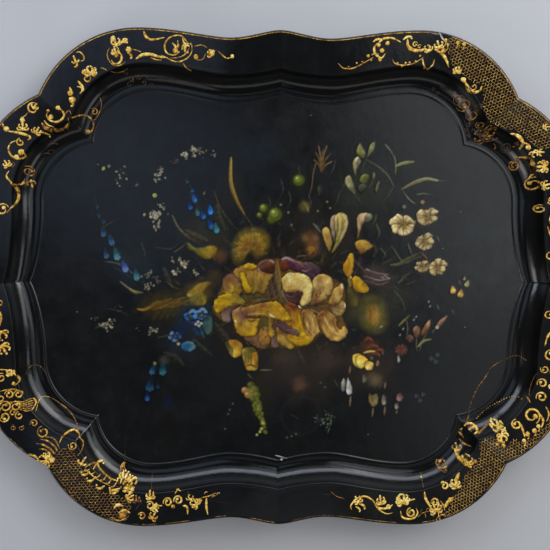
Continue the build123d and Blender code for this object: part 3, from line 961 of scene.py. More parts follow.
# The rose's petals: outline, colour at the heart, colour at the tip, heart
ROSE_PETALS = [
    ([(-70, -10), (-72, -1), (-69, 6), (-63, 9), (-56, 7), (-51, 1), (-49, -7), (-50, -13),
     (-55, -18), (-65, -18)], (176, 140, 36), (128, 84, 58), (-58, -20)),
    ([(-73, -36), (-60, -32), (-51, -31), (-56, -39), (-62, -43), (-63, -51), (-68, -53),
     (-73, -48)], (76, 56, 54), (142, 112, 94), (-56, -34)),
    ([(-84, -29), (-80, -23), (-73, -18), (-63, -16), (-55, -17), (-48, -22), (-44, -28),
     (-51, -30), (-61, -31), (-70, -35), (-78, -40), (-82, -38)], (130, 112, 48), (196, 152, 26),
     (-44, -26)),
    ([(-58, 11), (-56, 15), (-50, 18), (-43, 22), (-35, 22), (-27, 20), (-20, 15), (-9, 10),
     (-12, 2), (-16, -7), (-20, -15), (-27, -13), (-36, -15), (-43, -12), (-47, -3), (-51, 4)],
     (134, 104, 44), (172, 128, 52), (-30, -14)),
    ([(-50, 10), (-46, 11), (-43, 4), (-40, -4), (-35, -9), (-38, -14), (-44, -11), (-46, -2)],
     (176, 132, 22), (206, 166, 20), (-38, -14)),
    ([(-45, 20), (-38, 23), (-30, 20), (-34, 16), (-42, 17)], (176, 130, 30), (204, 162, 30),
     (-38, 16)),
    ([(-27, 21), (-23, 26), (-16, 28), (-9, 28), (-5, 25), (-6, 15), (-12, 12), (-19, 14),
     (-25, 15)], (70, 36, 24), (108, 66, 44), (-12, 14)),
    ([(3, 27), (6, 31), (12, 32), (18, 29), (24, 25), (32, 22), (36, 16), (30, 13), (22, 15),
     (13, 17), (4, 18)], (74, 38, 46), (112, 70, 72), (14, 14)),
    ([(3, 26), (9, 26), (11, 18), (6, 15), (2, 18)], (84, 40, 16), (126, 68, 30), (6, 14)),
    ([(30, 22), (38, 25), (46, 22), (54, 16), (48, 8), (40, 5), (32, 12)], (60, 38, 50),
     (84, 66, 72), (40, 4)),
    ([(45, -20), (45, -10), (45, 0), (49, 6), (56, 9), (64, 7), (69, 1), (70, -7), (67, -15),
     (61, -22), (53, -27), (43, -30)], (128, 92, 54), (206, 168, 92), (42, -30)),
    ([(68, -34), (75, -28), (81, -24), (86, -28), (87, -34), (83, -43), (77, -44), (71, -40)],
     (112, 84, 48), (172, 138, 78), (66, -34)),
    ([(67, -29), (69, -20), (73, -10), (79, -7), (82, -3), (84, -9), (83, -18), (79, -26),
     (73, -30)], (142, 104, 50), (212, 172, 86), (66, -32)),
    ([(10, -13), (22, -11), (32, -13), (32, -19), (28, -26), (23, -31), (17, -31), (11, -27),
     (8, -20)], (52, 30, 32), (84, 56, 54), (20, -30)),
    ([(6, 4), (10, 9), (17, 11), (27, 10), (36, 7), (41, 1), (43, -9), (42, -20), (39, -28),
     (33, -31), (29, -28), (31, -22), (33, -16), (30, -12), (22, -12), (12, -13), (7, -10),
     (5, -3)], (176, 136, 66), (240, 212, 124), (14, -20)),
    ([(-27, -50), (-21, -47), (-14, -48), (-12, -57), (-8, -68), (-9, -79), (-16, -87), (-26, -87),
     (-34, -82), (-42, -76), (-44, -71), (-31, -69)], (88, 76, 34), (132, 94, 66), (-20, -50)),
    ([(-24, -64), (-16, -60), (-9, -68), (-10, -78), (-18, -84), (-25, -78)], (176, 118, 40),
     (146, 104, 56), (-17, -72)),
    ([(-8, -56), (-2, -60), (0, -72), (1, -83), (-3, -87), (-8, -83), (-9, -71)], (86, 60, 54),
     (122, 92, 76), (-4, -56)),
    ([(-12, -47), (-8, -50), (-9, -60), (-6, -70), (-11, -72), (-13, -60)], (130, 98, 30),
     (190, 148, 50), (-10, -46)),
    ([(-1, -60), (6, -62), (14, -67), (14, -74), (20, -81), (17, -88), (11, -85), (3, -82),
     (-1, -73)], (128, 92, 44), (188, 148, 58), (4, -58)),
    ([(9, -27), (17, -28), (26, -35), (31, -43), (31, -51), (33, -60), (38, -68), (44, -72),
     (34, -74), (24, -71), (20, -64), (12, -61), (5, -57), (10, -51), (14, -47), (10, -38)],
     (128, 66, 30), (200, 156, 28), (14, -26)),
    ([(0, -52), (8, -56), (18, -62), (26, -68), (22, -72), (12, -67), (2, -61)], (76, 50, 54),
     (116, 86, 78), (2, -54)),
    ([(12, -70), (21, -72), (31, -74), (42, -71), (44, -77), (38, -82), (28, -84), (20, -81),
     (14, -76)], (170, 120, 24), (202, 156, 26), (26, -68)),
    ([(32, -38), (41, -38), (48, -45), (52, -54), (53, -64), (48, -71), (42, -72), (37, -65),
     (34, -56), (32, -47)], (146, 104, 54), (204, 160, 80), (34, -36)),
    ([(52, -43), (58, -39), (68, -41), (74, -47), (75, -56), (79, -63), (84, -63), (86, -60),
     (90, -66), (88, -71), (81, -77), (72, -77), (63, -71), (56, -61), (53, -52)], (136, 92, 46),
     (208, 162, 78), (56, -40)),
    ([(-60, -43), (-56, -37), (-49, -33), (-42, -36), (-39, -45), (-27, -48), (-25, -50),
     (-28, -57), (-30, -69), (-40, -71), (-51, -69), (-55, -62), (-57, -54)], (128, 88, 76),
     (200, 154, 32), (-46, -36)),
    ([(-48, -36), (-43, -34), (-31, -31), (-16, -28), (-3, -27), (3, -31), (9, -38), (15, -48),
     (12, -51), (0, -49), (-10, -47), (-18, -45), (-28, -45), (-40, -46), (-46, -42)],
     (130, 88, 54), (204, 156, 34), (-40, -38)),]


def paint_rose(c):
    """The great yellow rose, from its back petals to the front ones."""
    ground = [(-84, -30), (-70, 0), (-58, 15), (-44, 22), (-28, 22), (-20, 28), (0, 30), (20, 28),
        (42, 22), (52, 12), (70, 4), (84, -6), (87, -30), (82, -43), (90, -66), (76, -77),
        (56, -68), (44, -80), (20, -87), (-4, -86), (-26, -87), (-44, -74), (-55, -62),
        (-60, -50), (-72, -52), (-84, -40)]
    haze(c, (0, -30), 112, (46, 36, 24), 0.85, 1.0)
    petal(c, ground, (92, 70, 34), (112, 80, 34), (0, -30), soft=2.4, rim=0)
    # the dull green and grey inside of the cup
    for k in range(46):
        x, y = -56 + 62 * ((k * 0.618) % 1), -31 + 18 * ((k * 0.377) % 1)
        tone = (tint(92, 88, 44), tint(84, 70, 50), tint(112, 104, 66), tint(64, 52, 44))[k % 4]
        stroke(c, [(x - 6, y), (x, y + 2), (x + 6, y + 1)], 3.6, tone, tone * 0.8, 0.7, soft=1.0)
    for k in range(26):
        x, y = -16 + 16 * ((k * 0.618) % 1), -20 + 30 * ((k * 0.43) % 1)
        tone = (tint(84, 62, 62), tint(60, 42, 44), tint(112, 92, 88))[k % 3]
        stroke(c, [(x, y + 4), (x + 1.5, y), (x, y - 4)], 2.6, tone, tone * 0.8, 0.8, soft=0.7)
    for points, root, tip, heart in ROSE_PETALS:
        petal(c, points, root, tip, heart, streak=0.08, grow=1.2)
        if points[0] == (3, 26):
            stroke(c, [(-3, 27), (-2, 12), (1, -2), (0, -12)], 6.6, (122, 88, 46), (118, 106, 56),
                0.95)
            stroke(c, [(-1, 26), (1, 12), (3, 0)], 2.2, (160, 126, 76), (140, 120, 70), 0.7)
    # pleats, frills and folds
    for points, w, colour, end in (
            ([(-27, 18), (-25, 14), (-22, 13)], 2.2, (214, 180, 160), (170, 120, 100)),
            ([(-26, 22), (-22, 26), (-16, 28)], 1.8, (170, 130, 112), (150, 110, 90)),
            ([(-13, 28), (-9, 27), (-6, 24)], 3.0, (196, 180, 160), (150, 122, 104)),
            ([(-20, 24), (-14, 22), (-9, 20)], 2.4, (120, 70, 50), (92, 52, 36)),
            ([(4, 29), (8, 31), (14, 31)], 3.0, (206, 190, 180), (180, 150, 150)),
            ([(12, 30), (18, 28), (23, 25)], 3.4, (190, 166, 166), (128, 84, 104)),
            ([(10, 25), (16, 23), (22, 20)], 3.6, (92, 44, 72), (70, 34, 52)),
            ([(22, 21), (28, 19), (33, 16)], 3.6, (110, 62, 92), (74, 40, 58)),
            ([(22, 27), (28, 25), (34, 23)], 2.2, (172, 150, 96), (130, 92, 66)),
            ([(26, 24), (32, 20), (36, 17)], 2.0, (168, 118, 84), (112, 66, 48)),
            ([(30, 15), (36, 14), (41, 18)], 2.0, (176, 150, 150), (120, 90, 96)),
            ([(38, 20), (42, 19), (43, 15)], 2.4, (150, 74, 60), (96, 48, 42)),
            ([(34, 26), (37, 22), (36, 18)], 2.4, (132, 116, 116), (90, 74, 80)),
            ([(24, 33), (30, 34), (36, 34)], 1.6, (96, 90, 70), (128, 120, 92)),
            ([(6, 22), (12, 20), (14, 16)], 3.0, (120, 66, 34), (80, 44, 26)),
            ([(12, 16), (18, 13), (22, 12)], 3.0, (112, 104, 60), (84, 76, 46)),
            ([(46, 18), (50, 14), (52, 9)], 2.4, (84, 70, 78), (62, 50, 58)),
            ([(4, -11), (7, -20), (13, -28)], 3.0, (150, 132, 92), (100, 84, 58)),
            ([(1, -16), (5, -24), (12, -30)], 3.0, (104, 100, 56), (78, 70, 42)),
            ([(10, -17), (16, -20), (22, -19)], 1.8, (140, 108, 102), (96, 70, 66)),
            ([(12, -22), (18, -25), (25, -24)], 1.8, (120, 86, 80), (84, 58, 56)),
            ([(18, -28), (24, -27), (29, -22)], 2.6, (78, 40, 46), (60, 32, 36)),
            ([(12, -30), (20, -33), (28, -33)], 3.4, (104, 50, 36), (84, 50, 38)),
            ([(30, -32), (46, -35), (60, -34), (68, -36)], 3.4, (74, 54, 42), (92, 70, 52)),
            ([(34, -30), (48, -32), (60, -29)], 2.2, (52, 38, 30), (66, 50, 38)),
            ([(42, -36), (50, -40), (56, -42)], 2.0, (186, 160, 110), (112, 84, 56)),
            ([(33, -40), (33, -52), (38, -64), (44, -71)], 2.0, (82, 50, 26), (96, 60, 32)),
            ([(52, -44), (54, -56), (60, -68)], 1.6, (82, 52, 28), (96, 62, 34)),
            ([(-44, -46), (-34, -47), (-26, -48)], 3.2, (84, 52, 46), (66, 44, 30)),
            ([(-40, -51), (-34, -52), (-30, -50)], 2.4, (110, 74, 26), (88, 58, 22)),
            ([(-54, -44), (-50, -40), (-44, -40)], 4.0, (138, 100, 96), (120, 84, 66)),
            ([(-52, -51), (-48, -46), (-45, -44)], 3.2, (150, 112, 110), (124, 88, 70)),
            ([(-62, -38), (-62, -46), (-60, -52)], 2.4, (44, 32, 34), (40, 32, 30)),
            ([(-24, -50), (-21, -58), (-20, -64)], 5.0, (84, 78, 34), (96, 80, 44)),
            ([(-14, -52), (-14, -62)], 3.4, (96, 84, 40), (110, 84, 44)),
            ([(-6, -52), (-2, -56), (3, -57)], 3.6, (92, 60, 76), (96, 78, 70)),
            ([(4, -52), (9, -52), (14, -50)], 2.6, (118, 70, 20), (150, 100, 26)),
            ([(6, -60), (14, -64), (22, -66)], 3.0, (96, 66, 66), (120, 88, 74)),
            ([(-36, -38), (-26, -35), (-14, -36), (-4, -40)], 2.6, (166, 112, 44), (190, 136, 30)),
            ([(-40, -43), (-30, -42), (-18, -42)], 1.8, (206, 160, 60), (226, 182, 84)),
            ([(-8, -30), (-2, -36), (6, -46)], 2.4, (176, 122, 22), (186, 132, 24)),
            ([(15, -34), (20, -44), (24, -56)], 4.4, (150, 90, 30), (190, 142, 26)),
            ([(26, -42), (28, -54), (33, -66)], 3.6, (206, 166, 20), (200, 152, 30)),
            ([(44, -48), (46, -58), (44, -68)], 2.4, (232, 196, 116), (200, 152, 76)),
            ([(38, -46), (41, -56), (41, -66)], 2.0, (150, 104, 52), (130, 88, 40)),
            ([(60, -46), (66, -58), (76, -68), (86, -70)], 3.4, (226, 186, 104), (226, 184, 96)),
            ([(72, -46), (72, -56), (78, -66)], 2.4, (112, 74, 40), (136, 92, 46)),
            ([(50, -2), (54, -12), (52, -22)], 2.6, (160, 118, 64), (136, 96, 56)),
            ([(60, 2), (62, -8), (58, -20)], 3.0, (222, 188, 110), (196, 154, 82)),
            ([(66, 5), (69, -2), (68, -10)], 1.8, (214, 182, 130), (170, 130, 84)),
            ([(78, -10), (77, -18), (73, -27)], 2.4, (222, 184, 96), (176, 134, 66)),
            ([(16, 6), (28, 6), (37, 0), (40, -12), (36, -24)], 4.2, (236, 206, 116),
             (246, 222, 134)),
            ([(8, -6), (16, -8), (26, -8)], 3.6, (196, 146, 66), (214, 172, 92)),
            ([(10, 7), (14, 9), (19, 8)], 2.4, (236, 222, 160), (220, 196, 130)),
            ([(-38, -4), (-36, -10)], 2.4, (122, 88, 28), (150, 110, 34)),
            ([(-24, 6), (-22, -4), (-24, -12)], 2.4, (104, 84, 40), (128, 102, 48)),
            ([(-16, 6), (-18, -4), (-22, -12)], 2.2, (168, 136, 70), (130, 104, 50)),
            ([(-30, 10), (-30, -2), (-27, -11)], 2.4, (176, 132, 48), (150, 112, 46)),
            ([(-52, 12), (-42, 14), (-30, 13)], 2.6, (146, 94, 24), (166, 116, 40)),
            ([(-64, -2), (-60, -8), (-62, -14)], 4.0, (190, 150, 36), (206, 170, 60)),
            ([(-74, -12), (-68, -14), (-62, -16)], 3.0, (150, 118, 34), (190, 152, 40)),
            ([(-78, -30), (-70, -27), (-60, -27)], 4.0, (212, 166, 30), (190, 146, 40)),
            ([(-72, -34), (-62, -32), (-54, -32)], 2.0, (150, 76, 44), (110, 72, 40)),
            ([(16, -76), (26, -78), (38, -76)], 2.6, (216, 172, 40), (206, 158, 30)),
            ([(40, -72), (45, -74), (42, -79)], 2.0, (222, 170, 90), (190, 130, 60)),
            ([(3, -70), (8, -76), (14, -82)], 2.6, (196, 158, 80), (170, 130, 56))):
        stroke(c, points, w, colour, end, 0.85, soft=0.7)
    for x, y in ((54.5, -15.5), (49.5, -17), (62, -17.5), (54, -45), (57, -43), (-17, -73),
            (50, -20)):
        dab(c, (x, y), 1.7, (104, 46, 24), 0.8, 60, 0.6)
    for line in ([(25.5, -31), (29.5, -35)], [(-12, -42), (-10, -44), (-5, -47)],
            [(-57.5, -50), (-55, -54)], [(86.5, -28), (87, -34)], [(82.5, -4), (83, -9)],
            [(11, 7), (16, 7)]):
        stroke(c, line, 2.2, (248, 236, 196), alpha=0.95)


def paint_primroses(c):
    """The pale primroses at the right, and the buds beside them."""
    pale, heart = tint(216, 192, 134), tint(140, 112, 54)
    blossom(c, (162, 74), 17.5, 7, heart, pale, 12, 0.88, seed=3)
    blossom(c, (193, 85), 16, 7, heart, pale * 0.96, 40, 0.82, seed=5)
    blossom(c, (190, 52), 14, 6, heart, pale * 0.92, 70, 0.86, seed=8)
    blossom(c, (189, 20), 11.5, 6, heart, pale * 0.9, 10, 0.8, seed=11)
    blossom(c, (208, 19), 13.5, 7, heart, pale * 0.96, 30, 0.84, seed=13)
    dab(c, (186, 104), 2.6, (150, 104, 52), 0.85, gleam=0.1)
    dab(c, (162, 98), 2.4, (122, 116, 92), 0.6)
    stroke(c, [(186, 38), (190, 34), (194, 30)], 3.2, (112, 66, 42), (92, 62, 46), 0.8)
    for x, y, size, angle in ((228, -10, 5.0, 80), (240, -15, 5.0, 100)):
        petal(c, teardrop(np.array([x, y + size]), -angle, size * 2.1, size * 1.6), OCHRE, STRAW,
            (x, y + size))
    petal(c, teardrop(np.array([249.0, 2.0]), -110, 9, 7), (112, 112, 60), (166, 162, 116),
        (249, 2))
    petal(c, teardrop(np.array([244.0, 8.0]), -95, 6, 4), (112, 112, 60), (156, 156, 118),
        (244, 8))
    for x, y in ((236, 2), (208, -30), (186, 46), (228, -36), (206, 60)):
        stroke(c, [(x, y), (x + 3, y - 7)], 1.3, (130, 128, 104), GREY, 0.6)


def paint_blues(c):
    """Blue bells and small blue flowers on the left."""
    bright, deep = tint(30, 92, 168), tint(10, 56, 116)
    for x, y, length, angle, tone, colour in ((-119, 134, 8, -80, 0.6, TEAL),
            (-113, 124, 10, -76, 0.75, deep), (-111, 113, 12, -72, 1.0, bright),
            (-115, 104, 12, -84, 0.9, deep), (-107, 95, 11, -70, 0.95, TEAL * 1.2),
            (-99, 93, 13, -78, 1.0, deep), (-89, 99, 13, -84, 1.1, bright),
            (-91, 81, 15, -66, 1.05, deep), (-82, 76, 14, -80, 1.0, TEAL * 1.2)):
        bell(c, (x, y), length, angle, colour * tone, tint(92, 150, 186) * tone)
    for x, y, length, angle, tone, colour in ((-234, 103, 10, -85, 0.6, SLATE),
            (-233, 92, 11, -80, 0.6, SLATE), (-227, 83, 10, -75, 0.65, SLATE),
            (-229, 70, 14, -74, 0.85, SLATE), (-219, 60, 15, -70, 0.9, tint(40, 84, 130)),
            (-225, 43, 15, -78, 0.85, SLATE), (-212, 43, 17, -74, 1.05, tint(46, 100, 112)),
            (-203, 26, 16, -66, 1.1, tint(66, 82, 140)),
            (-186, 16, 16, -80, 1.0, tint(52, 96, 104))):
        bell(c, (x, y), length, angle, colour * tone, tint(122, 152, 164) * tone,
            0.5 + 0.45 * tone)
    for line in (
            [(-118, 138), (-114, 122), (-112, 108), (-100, 92), (-82, 78)],
            [(-236, 112), (-234, 92), (-222, 62), (-206, 34), (-186, 14)]):
        stroke(c, line, 1.6, (54, 66, 40), MOSS, 0.6)
    haze(c, (-110, -46), 28, (26, 50, 72), 0.8, 1.3)
    blossom(c, (-115, -45), 10, 5, (20, 40, 74), (64, 118, 178), 20, 0.72, seed=21)
    blossom(c, (-101, -44), 11, 5, (26, 48, 84), (86, 140, 192), 50, 0.72, seed=22)
    for points, tone in (
            ([(-122, -51), (-114, -54), (-106, -52)], tint(62, 52, 98)),
            ([(-118, -42), (-112, -38), (-107, -42)], tint(122, 164, 206)),
            ([(-106, -40), (-99, -36), (-93, -41)], tint(134, 174, 210)),
            ([(-112, -60), (-108, -66), (-104, -70)], tint(30, 66, 112)),
            ([(-102, -61), (-100, -68), (-98, -73)], tint(44, 88, 118))):
        stroke(c, points, 4.2, tone * 0.8, tone, 0.85, soft=0.8)
    petal(c, [(-97, -48), (-90, -44), (-86, -52), (-87, -65), (-93, -70), (-99, -60)], TEAL * 0.6,
        (92, 132, 122), (-98, -50), soft=1.2, strength=0.9)
    for x, y in ((-108, -56), (-104, -58), (-101, -55), (-105, -53)):
        dab(c, (x, y), 2.0, (190, 186, 170), 0.85, gleam=0.1)
    blossom(c, (-135, -72), 9.5, 5, (24, 54, 104), (112, 148, 184), 60, 0.85, seed=25)
    petal(c, [(-126, -81), (-114, -79), (-108, -86), (-115, -92), (-126, -90)], (16, 56, 104),
        (104, 146, 156), (-124, -86), soft=1.0)
    haze(c, (-128, -66), 16, (30, 44, 76), 0.6)
    dab(c, (-131, -82), 2.2, (176, 168, 118), 0.9)
    bell(c, (-161, -109), 16, -112, (20, 60, 84), (92, 140, 156), 0.85)
    bell(c, (-152, -106), 19, -88, (20, 68, 78), (92, 142, 142), 0.85)
    bell(c, (-166, -127), 20, -100, (22, 56, 80), (84, 126, 144), 0.7, 0.7)
    bell(c, (-173, -146), 13, -84, (22, 62, 108), (84, 134, 172), 0.8)
    bell(c, (-160, -130), 13, -80, (18, 44, 58), (62, 98, 110), 0.5)
    dab(c, (-162, -108), 2.2, (136, 134, 58), 0.85)
    haze(c, (-150, -104), 10, (76, 74, 64), 0.7)
    haze(c, (-146, -160), 16, (20, 34, 58), 0.6, 0.8)


def paint_sprays(c):
    """Tiny white blossoms, berries and seed heads."""
    white = tint(196, 188, 156)
    for x, y, spread, count, size, tone, ratio, angle in ((-108, 169, 8, 9, 2.2, 1.0, 0.8, 20),
            (-121, 162, 5, 6, 2.2, 1.05, 1, 0), (-98, 164, 6, 5, 1.6, 0.75, 1, 0),
            (-84, 164, 4, 3, 1.7, 0.75, 1, 0), (-135, 155, 7, 5, 1.2, 0.6, 0.5, 25),
            (-151, 145, 5, 6, 1.7, 0.8, 1, 0), (-156, 134, 7, 9, 2.0, 1.0, 1, 0),
            (-204, 135, 8, 7, 1.7, 0.85, 1, 0), (-198, 147, 3, 2, 2.0, 0.7, 1, 0),
            (-183, 124, 3, 3, 1.6, 0.7, 2, 0), (-160, 86, 9, 14, 2.5, 1.0, 0.8, 0),
            (-152, 96, 5, 5, 1.8, 0.9, 1, 0), (-158, 72, 4, 4, 2.6, 0.95, 1, 0),
            (-168, 9, 6, 7, 2.2, 0.85, 1, 0), (-170, -6, 6, 7, 2.0, 0.8, 1, 0),
            (-158, 2, 5, 5, 1.9, 0.7, 1.4, 0), (-122, 24, 7, 9, 2.6, 1.0, 0.6, 0),
            (-132, 12, 7, 7, 2.3, 0.9, 0.8, 0), (-108, 12, 6, 6, 2.0, 0.85, 0.7, -20),
            (-138, 27, 4, 3, 2.0, 0.75, 1, 0), (-224, -58, 8, 9, 2.1, 0.95, 0.8, -40),
            (-214, -52, 4, 3, 1.9, 0.8, 1, 0), (-168, -66, 6, 6, 2.0, 0.85, 1, 0),
            (-160, -64, 4, 3, 2.0, 0.8, 1, 0), (-240, -50, 5, 3, 1.6, 0.55, 1, 0),
            (-184, -62, 4, 3, 1.3, 0.6, 1, 0), (-208, -36, 6, 4, 1.3, 0.5, 1, 0),
            (-128, 30, 3, 2, 1.6, 0.7, 1, 0), (-96, 114, 3, 2, 1.4, 0.7, 1, 0)):
        spray(c, (x, y), spread, count, int(x * 7 + y * 13) % 997, white * tone, size, ratio,
            angle)
    dab(c, (-160, 111), 2.8, (150, 148, 74), 0.9, gleam=0.12)
    dab(c, (-225, 145), 2.6, (160, 160, 90), 0.8, 60, 0.7)
    dab(c, (-218, 148), 1.8, (120, 128, 110), 0.7)
    for x, y, size in ((-20, 95.5, 5.4), (-25.5, 86.5, 3.2), (-10, 81, 5.2), (-5, 87.5, 8.4),
            (25, 131.5, 7.0)):
        berry(c, (x, y), size, (118, 126, 46))
    for x, y in ((12, 90), (2, 100), (16, 74), (50, 92), (62, 104), (66, 96)):
        dab(c, (x, y), 1.5, (140, 140, 118), 0.5)
    stroke(c, [(44, 76), (50, 70), (54, 64)], 3.0, (110, 116, 104), GREY, 0.7)
    # green seed head that hangs below the rose
    for k in range(34):
        t = k / 33
        x = -36 + 20 * t + 4.5 * math.sin(k * 2.4) * (1.1 - t)
        y = -140 - 62 * t + 2.5 * math.cos(k * 1.9)
        size = 5.2 * (1 - 0.66 * t)
        tone = (0.75 + 0.3 * ((k * 7) % 5) / 4)
        dab(c, (x, y), size, tint(102, 102, 42) * tone, 0.9, soft=1.0, gleam=0.12)
    for x, y in ((-44, -144), (-40, -150)):
        dab(c, (x, y), 4.6, (150, 110, 58), 0.85, gleam=0.2)
    for x, y, size in ((-22, -196, 2.0), (-24, -200, 1.8), (-28, -204, 1.6), (-20, -188, 2.2)):
        dab(c, (x, y), size, (160, 160, 92), 0.9)
    for x, y, count, seed in ((60, -186, 9, 31), (68, -184, 10, 32), (66, -196, 6, 33),
            (50, -182, 4, 34)):
        spray(c, (x, y), 5, count, seed, (120, 140, 120), 1.4, 1.6)
    for x, y in ((18, -206), (12, -208), (24, -203), (62, -140), (56, -134), (-60, -162),
            (-64, -170), (-66, -176)):
        dab(c, (x, y), 1.4, (104, 108, 92), 0.45)


def paint_lower_right(c):
    """Pansy, snowdrops and the small buds below and right of the rose."""
    haze(c, (120, -86), 18, (84, 48, 34), 0.9)
    for points in ([(112, -80), (118, -74), (124, -78)], [(116, -88), (124, -84), (132, -86)],
            [(118, -96), (128, -94), (134, -98)], [(126, -90), (136, -90), (138, -96)]):
        stroke(c, points, 4.2, (98, 52, 32), (134, 78, 48), 0.8)
    stroke(c, [(112, -94), (120, -92), (128, -92)], 3.0, (214, 184, 84), alpha=0.9)
    petal(c, [(98, -98), (106, -95), (114, -99), (115, -108), (108, -114), (100, -110)], GOLD,
        (232, 206, 96), (112, -98))
    petal(c, [(104, -98), (112, -98), (118, -104), (116, -112), (108, -115), (103, -108)],
        (214, 160, 44), (236, 214, 104), (112, -98))
    petal(c, [(114, -107), (121, -105), (126, -110), (123, -117), (116, -116)], GOLD,
        (230, 200, 110), (120, -104))
    dab(c, (131, -108), 4, (150, 112, 84), 0.8, 80, 0.5)
    dab(c, (123, -101), 2.2, (84, 104, 84), 0.8)
    haze(c, (128, -130), 14, (112, 96, 66), 0.75, 1.3, -30)
    petal(c, [(112, -122), (118, -124), (117, -132), (112, -134)], SAGE * 0.6, (140, 138, 116),
        (116, -120), soft=1.2, strength=0.8)
    # snowdrops
    petal(c, [(86, -128), (89, -132), (89, -144), (85, -146), (83, -138)], GREY, (160, 158, 140),
        (88, -150))
    petal(c, [(92, -127), (95, -133), (98, -142), (97, -149), (92, -150), (90, -143), (91, -133)],
        (180, 184, 178), (214, 210, 202), (95, -122))
    petal(c, [(121, -148), (124, -151), (130, -149), (133, -154), (131, -164), (125, -166),
        (120, -158)], (92, 78, 46), (150, 132, 86), (126, -148))
    petal(c, [(139, -150), (143, -154), (143, -163), (139, -164), (137, -158)], SAGE * 0.7,
        (160, 158, 132), (141, -150))
    petal(c, [(158, -150), (162, -148), (166, -154), (162, -160), (157, -157)], (96, 58, 56),
        (146, 108, 102), (163, -146))
    petal(c, [(155, -163), (159, -162), (160, -168), (156, -170)], GREY, WHITE * 0.85, (158, -160))
    petal(c, [(157, -98), (160, -98), (161, -104), (158, -107)], GREY, WHITE * 0.85, (159, -96))
    for x, y, length in ((96, -152, 14), (126, -168, 12), (142, -166, 12), (142, -134, 8),
            (95, -112, 10), (158, -172, 4)):
        stroke(c, [(x, y), (x - 1, y - length)], 2.4, (150, 118, 92), (112, 92, 66), 0.75)
    # rust flower and pinkish buds
    for k in range(9):
        tip = (162, -90) + direction(40 * k) * (8.5, 7.5)
        stroke(c, [(162, -90), tip], 3.4, (92, 46, 38), (126, 74, 60), 0.75, soft=1.2)
    for points, root, tip in (
            ([(207, -62), (211, -52), (222, -44), (220, -50), (213, -60)], ROSE * 0.5,
             (158, 116, 88)),
            ([(187, -72), (191, -60), (199, -50), (200, -58), (195, -68)], RUST * 0.7,
             (164, 120, 82)),
            ([(179, -72), (177, -62), (182, -58), (187, -64), (184, -74)], ROSE * 0.5,
             (140, 104, 74)),
            ([(168, -74), (172, -70), (178, -74), (174, -80)], ROSE * 0.5, (120, 86, 72))):
        petal(c, points, root, tip, points[0])
    dab(c, (209, -60), 2.4, WHITE * 0.85, 0.9)
    for points in ([(182, -74), (182, -84), (183, -92)], [(196, -66), (190, -78), (186, -92)],
            [(206, -62), (202, -68)], [(168, -50), (170, -62), (168, -76)]):
        stroke(c, points, 1.4, (128, 112, 92), GREY, 0.65)
    for x, y in ((197, -26), (199, -32), (181, -46), (178, -50), (164, -62), (160, -70)):
        dab(c, (x, y), 1.6, (150, 154, 146), 0.7, 60, 0.6)
    for x, y in ((210, -97), (202, -102), (208, -106), (183, -152), (192, -150), (188, -158)):
        for k in range(3):
            dab(c, (x + 1.6 * math.cos(k * 2.1), y + 1.6 * math.sin(k * 2.1)), 1.7, (66, 78, 80),
                0.55, soft=1.0)


def paint_buds(c):
    """Two orange buds below the rose."""
    petal(c, [(-70, -80), (-66, -92), (-60, -100), (-56, -98), (-60, -86), (-62, -80)],
        (60, 52, 24), (150, 138, 70), (-60, -78))
    petal(c, [(-66, -78), (-54, -77), (-47, -84), (-47, -94), (-54, -100), (-60, -99), (-60, -90)],
        (190, 126, 36), (232, 184, 62), (-56, -76))
    petal(c, [(-48, -90), (-46, -104), (-42, -116), (-36, -118), (-28, -116), (-26, -104),
        (-28, -92), (-36, -86)], OLIVE, (216, 168, 56), (-38, -84))
    petal(c, [(-34, -94), (-28, -94), (-27, -106), (-32, -112), (-36, -106)], (214, 142, 36),
        (232, 186, 62), (-30, -92), soft=0.9)
    stroke(c, [(-44, -112), (-36, -110), (-28, -114)], 2.6, (92, 58, 26), (110, 72, 30), 0.85)
    stroke(c, [(-42, -116), (-36, -115), (-30, -117)], 1.6, (206, 172, 84), alpha=0.85)
    for x in (-44, -40, -36):
        stroke(c, [(x, -90), (x + 1, -100), (x, -110)], 1.6, (112, 108, 52), (80, 66, 30), 0.8)
    stroke(c, [(-38, -84), (-42, -80), (-44, -74)], 2.6, (96, 88, 56), MOSS, 0.8)


UNDERGROWTH = [tint(84, 72, 44), tint(60, 64, 46), tint(94, 66, 40), tint(56, 70, 60),
               tint(76, 64, 58)]


def paint_undergrowth(c):
    """Dim leaves and twigs, lost in the dark behind the flowers."""
    for k in range(190):
        turn, depth, lean = (k * 0.618) % 1, (k * 0.7549) % 1, (k * 0.5698) % 1
        angle, reach = 2 * math.pi * turn, 0.42 + 0.58 * depth
        x, y = 12 + 152 * reach * math.cos(angle), -12 + 94 * reach * math.sin(angle)
        lie = math.atan2(y + 30, x) + 1.6 * (lean - 0.5)
        length = 7 + 14 * ((k * 0.382) % 1)
        dx, dy, bend = length * math.cos(lie), length * math.sin(lie), 0.4 * (lean - 0.5)
        tone = UNDERGROWTH[k % 5]
        stroke(c, [(x, y), (x + dx / 2 - dy * bend, y + dy / 2 + dx * bend), (x + dx, y + dy)],
            (1.2, 3.4, 2.0, 4.6)[k % 4], tone, tone * 0.5, 0.8 - 0.4 * depth, soft=1.1)


def paint_bouquet(c):
    """Paints the layers from back to front, each mixed to its own strength of colour."""
    for layer, strength in ((paint_glazes, 0.86), (paint_undergrowth, 1.0), (paint_leaves, 0.92),
            (paint_back_flowers, 0.88), (paint_blues, 0.95), (paint_tulips, 0.96),
            (paint_primroses, 1.04), (paint_sprays, 1.04), (paint_lower_right, 0.97),
            (paint_buds, 0.92), (paint_rose, 0.91)):
        c.strength = strength
        layer(c)
    c.soften()


# ---------------------------------------------------------------------------- the gilded work

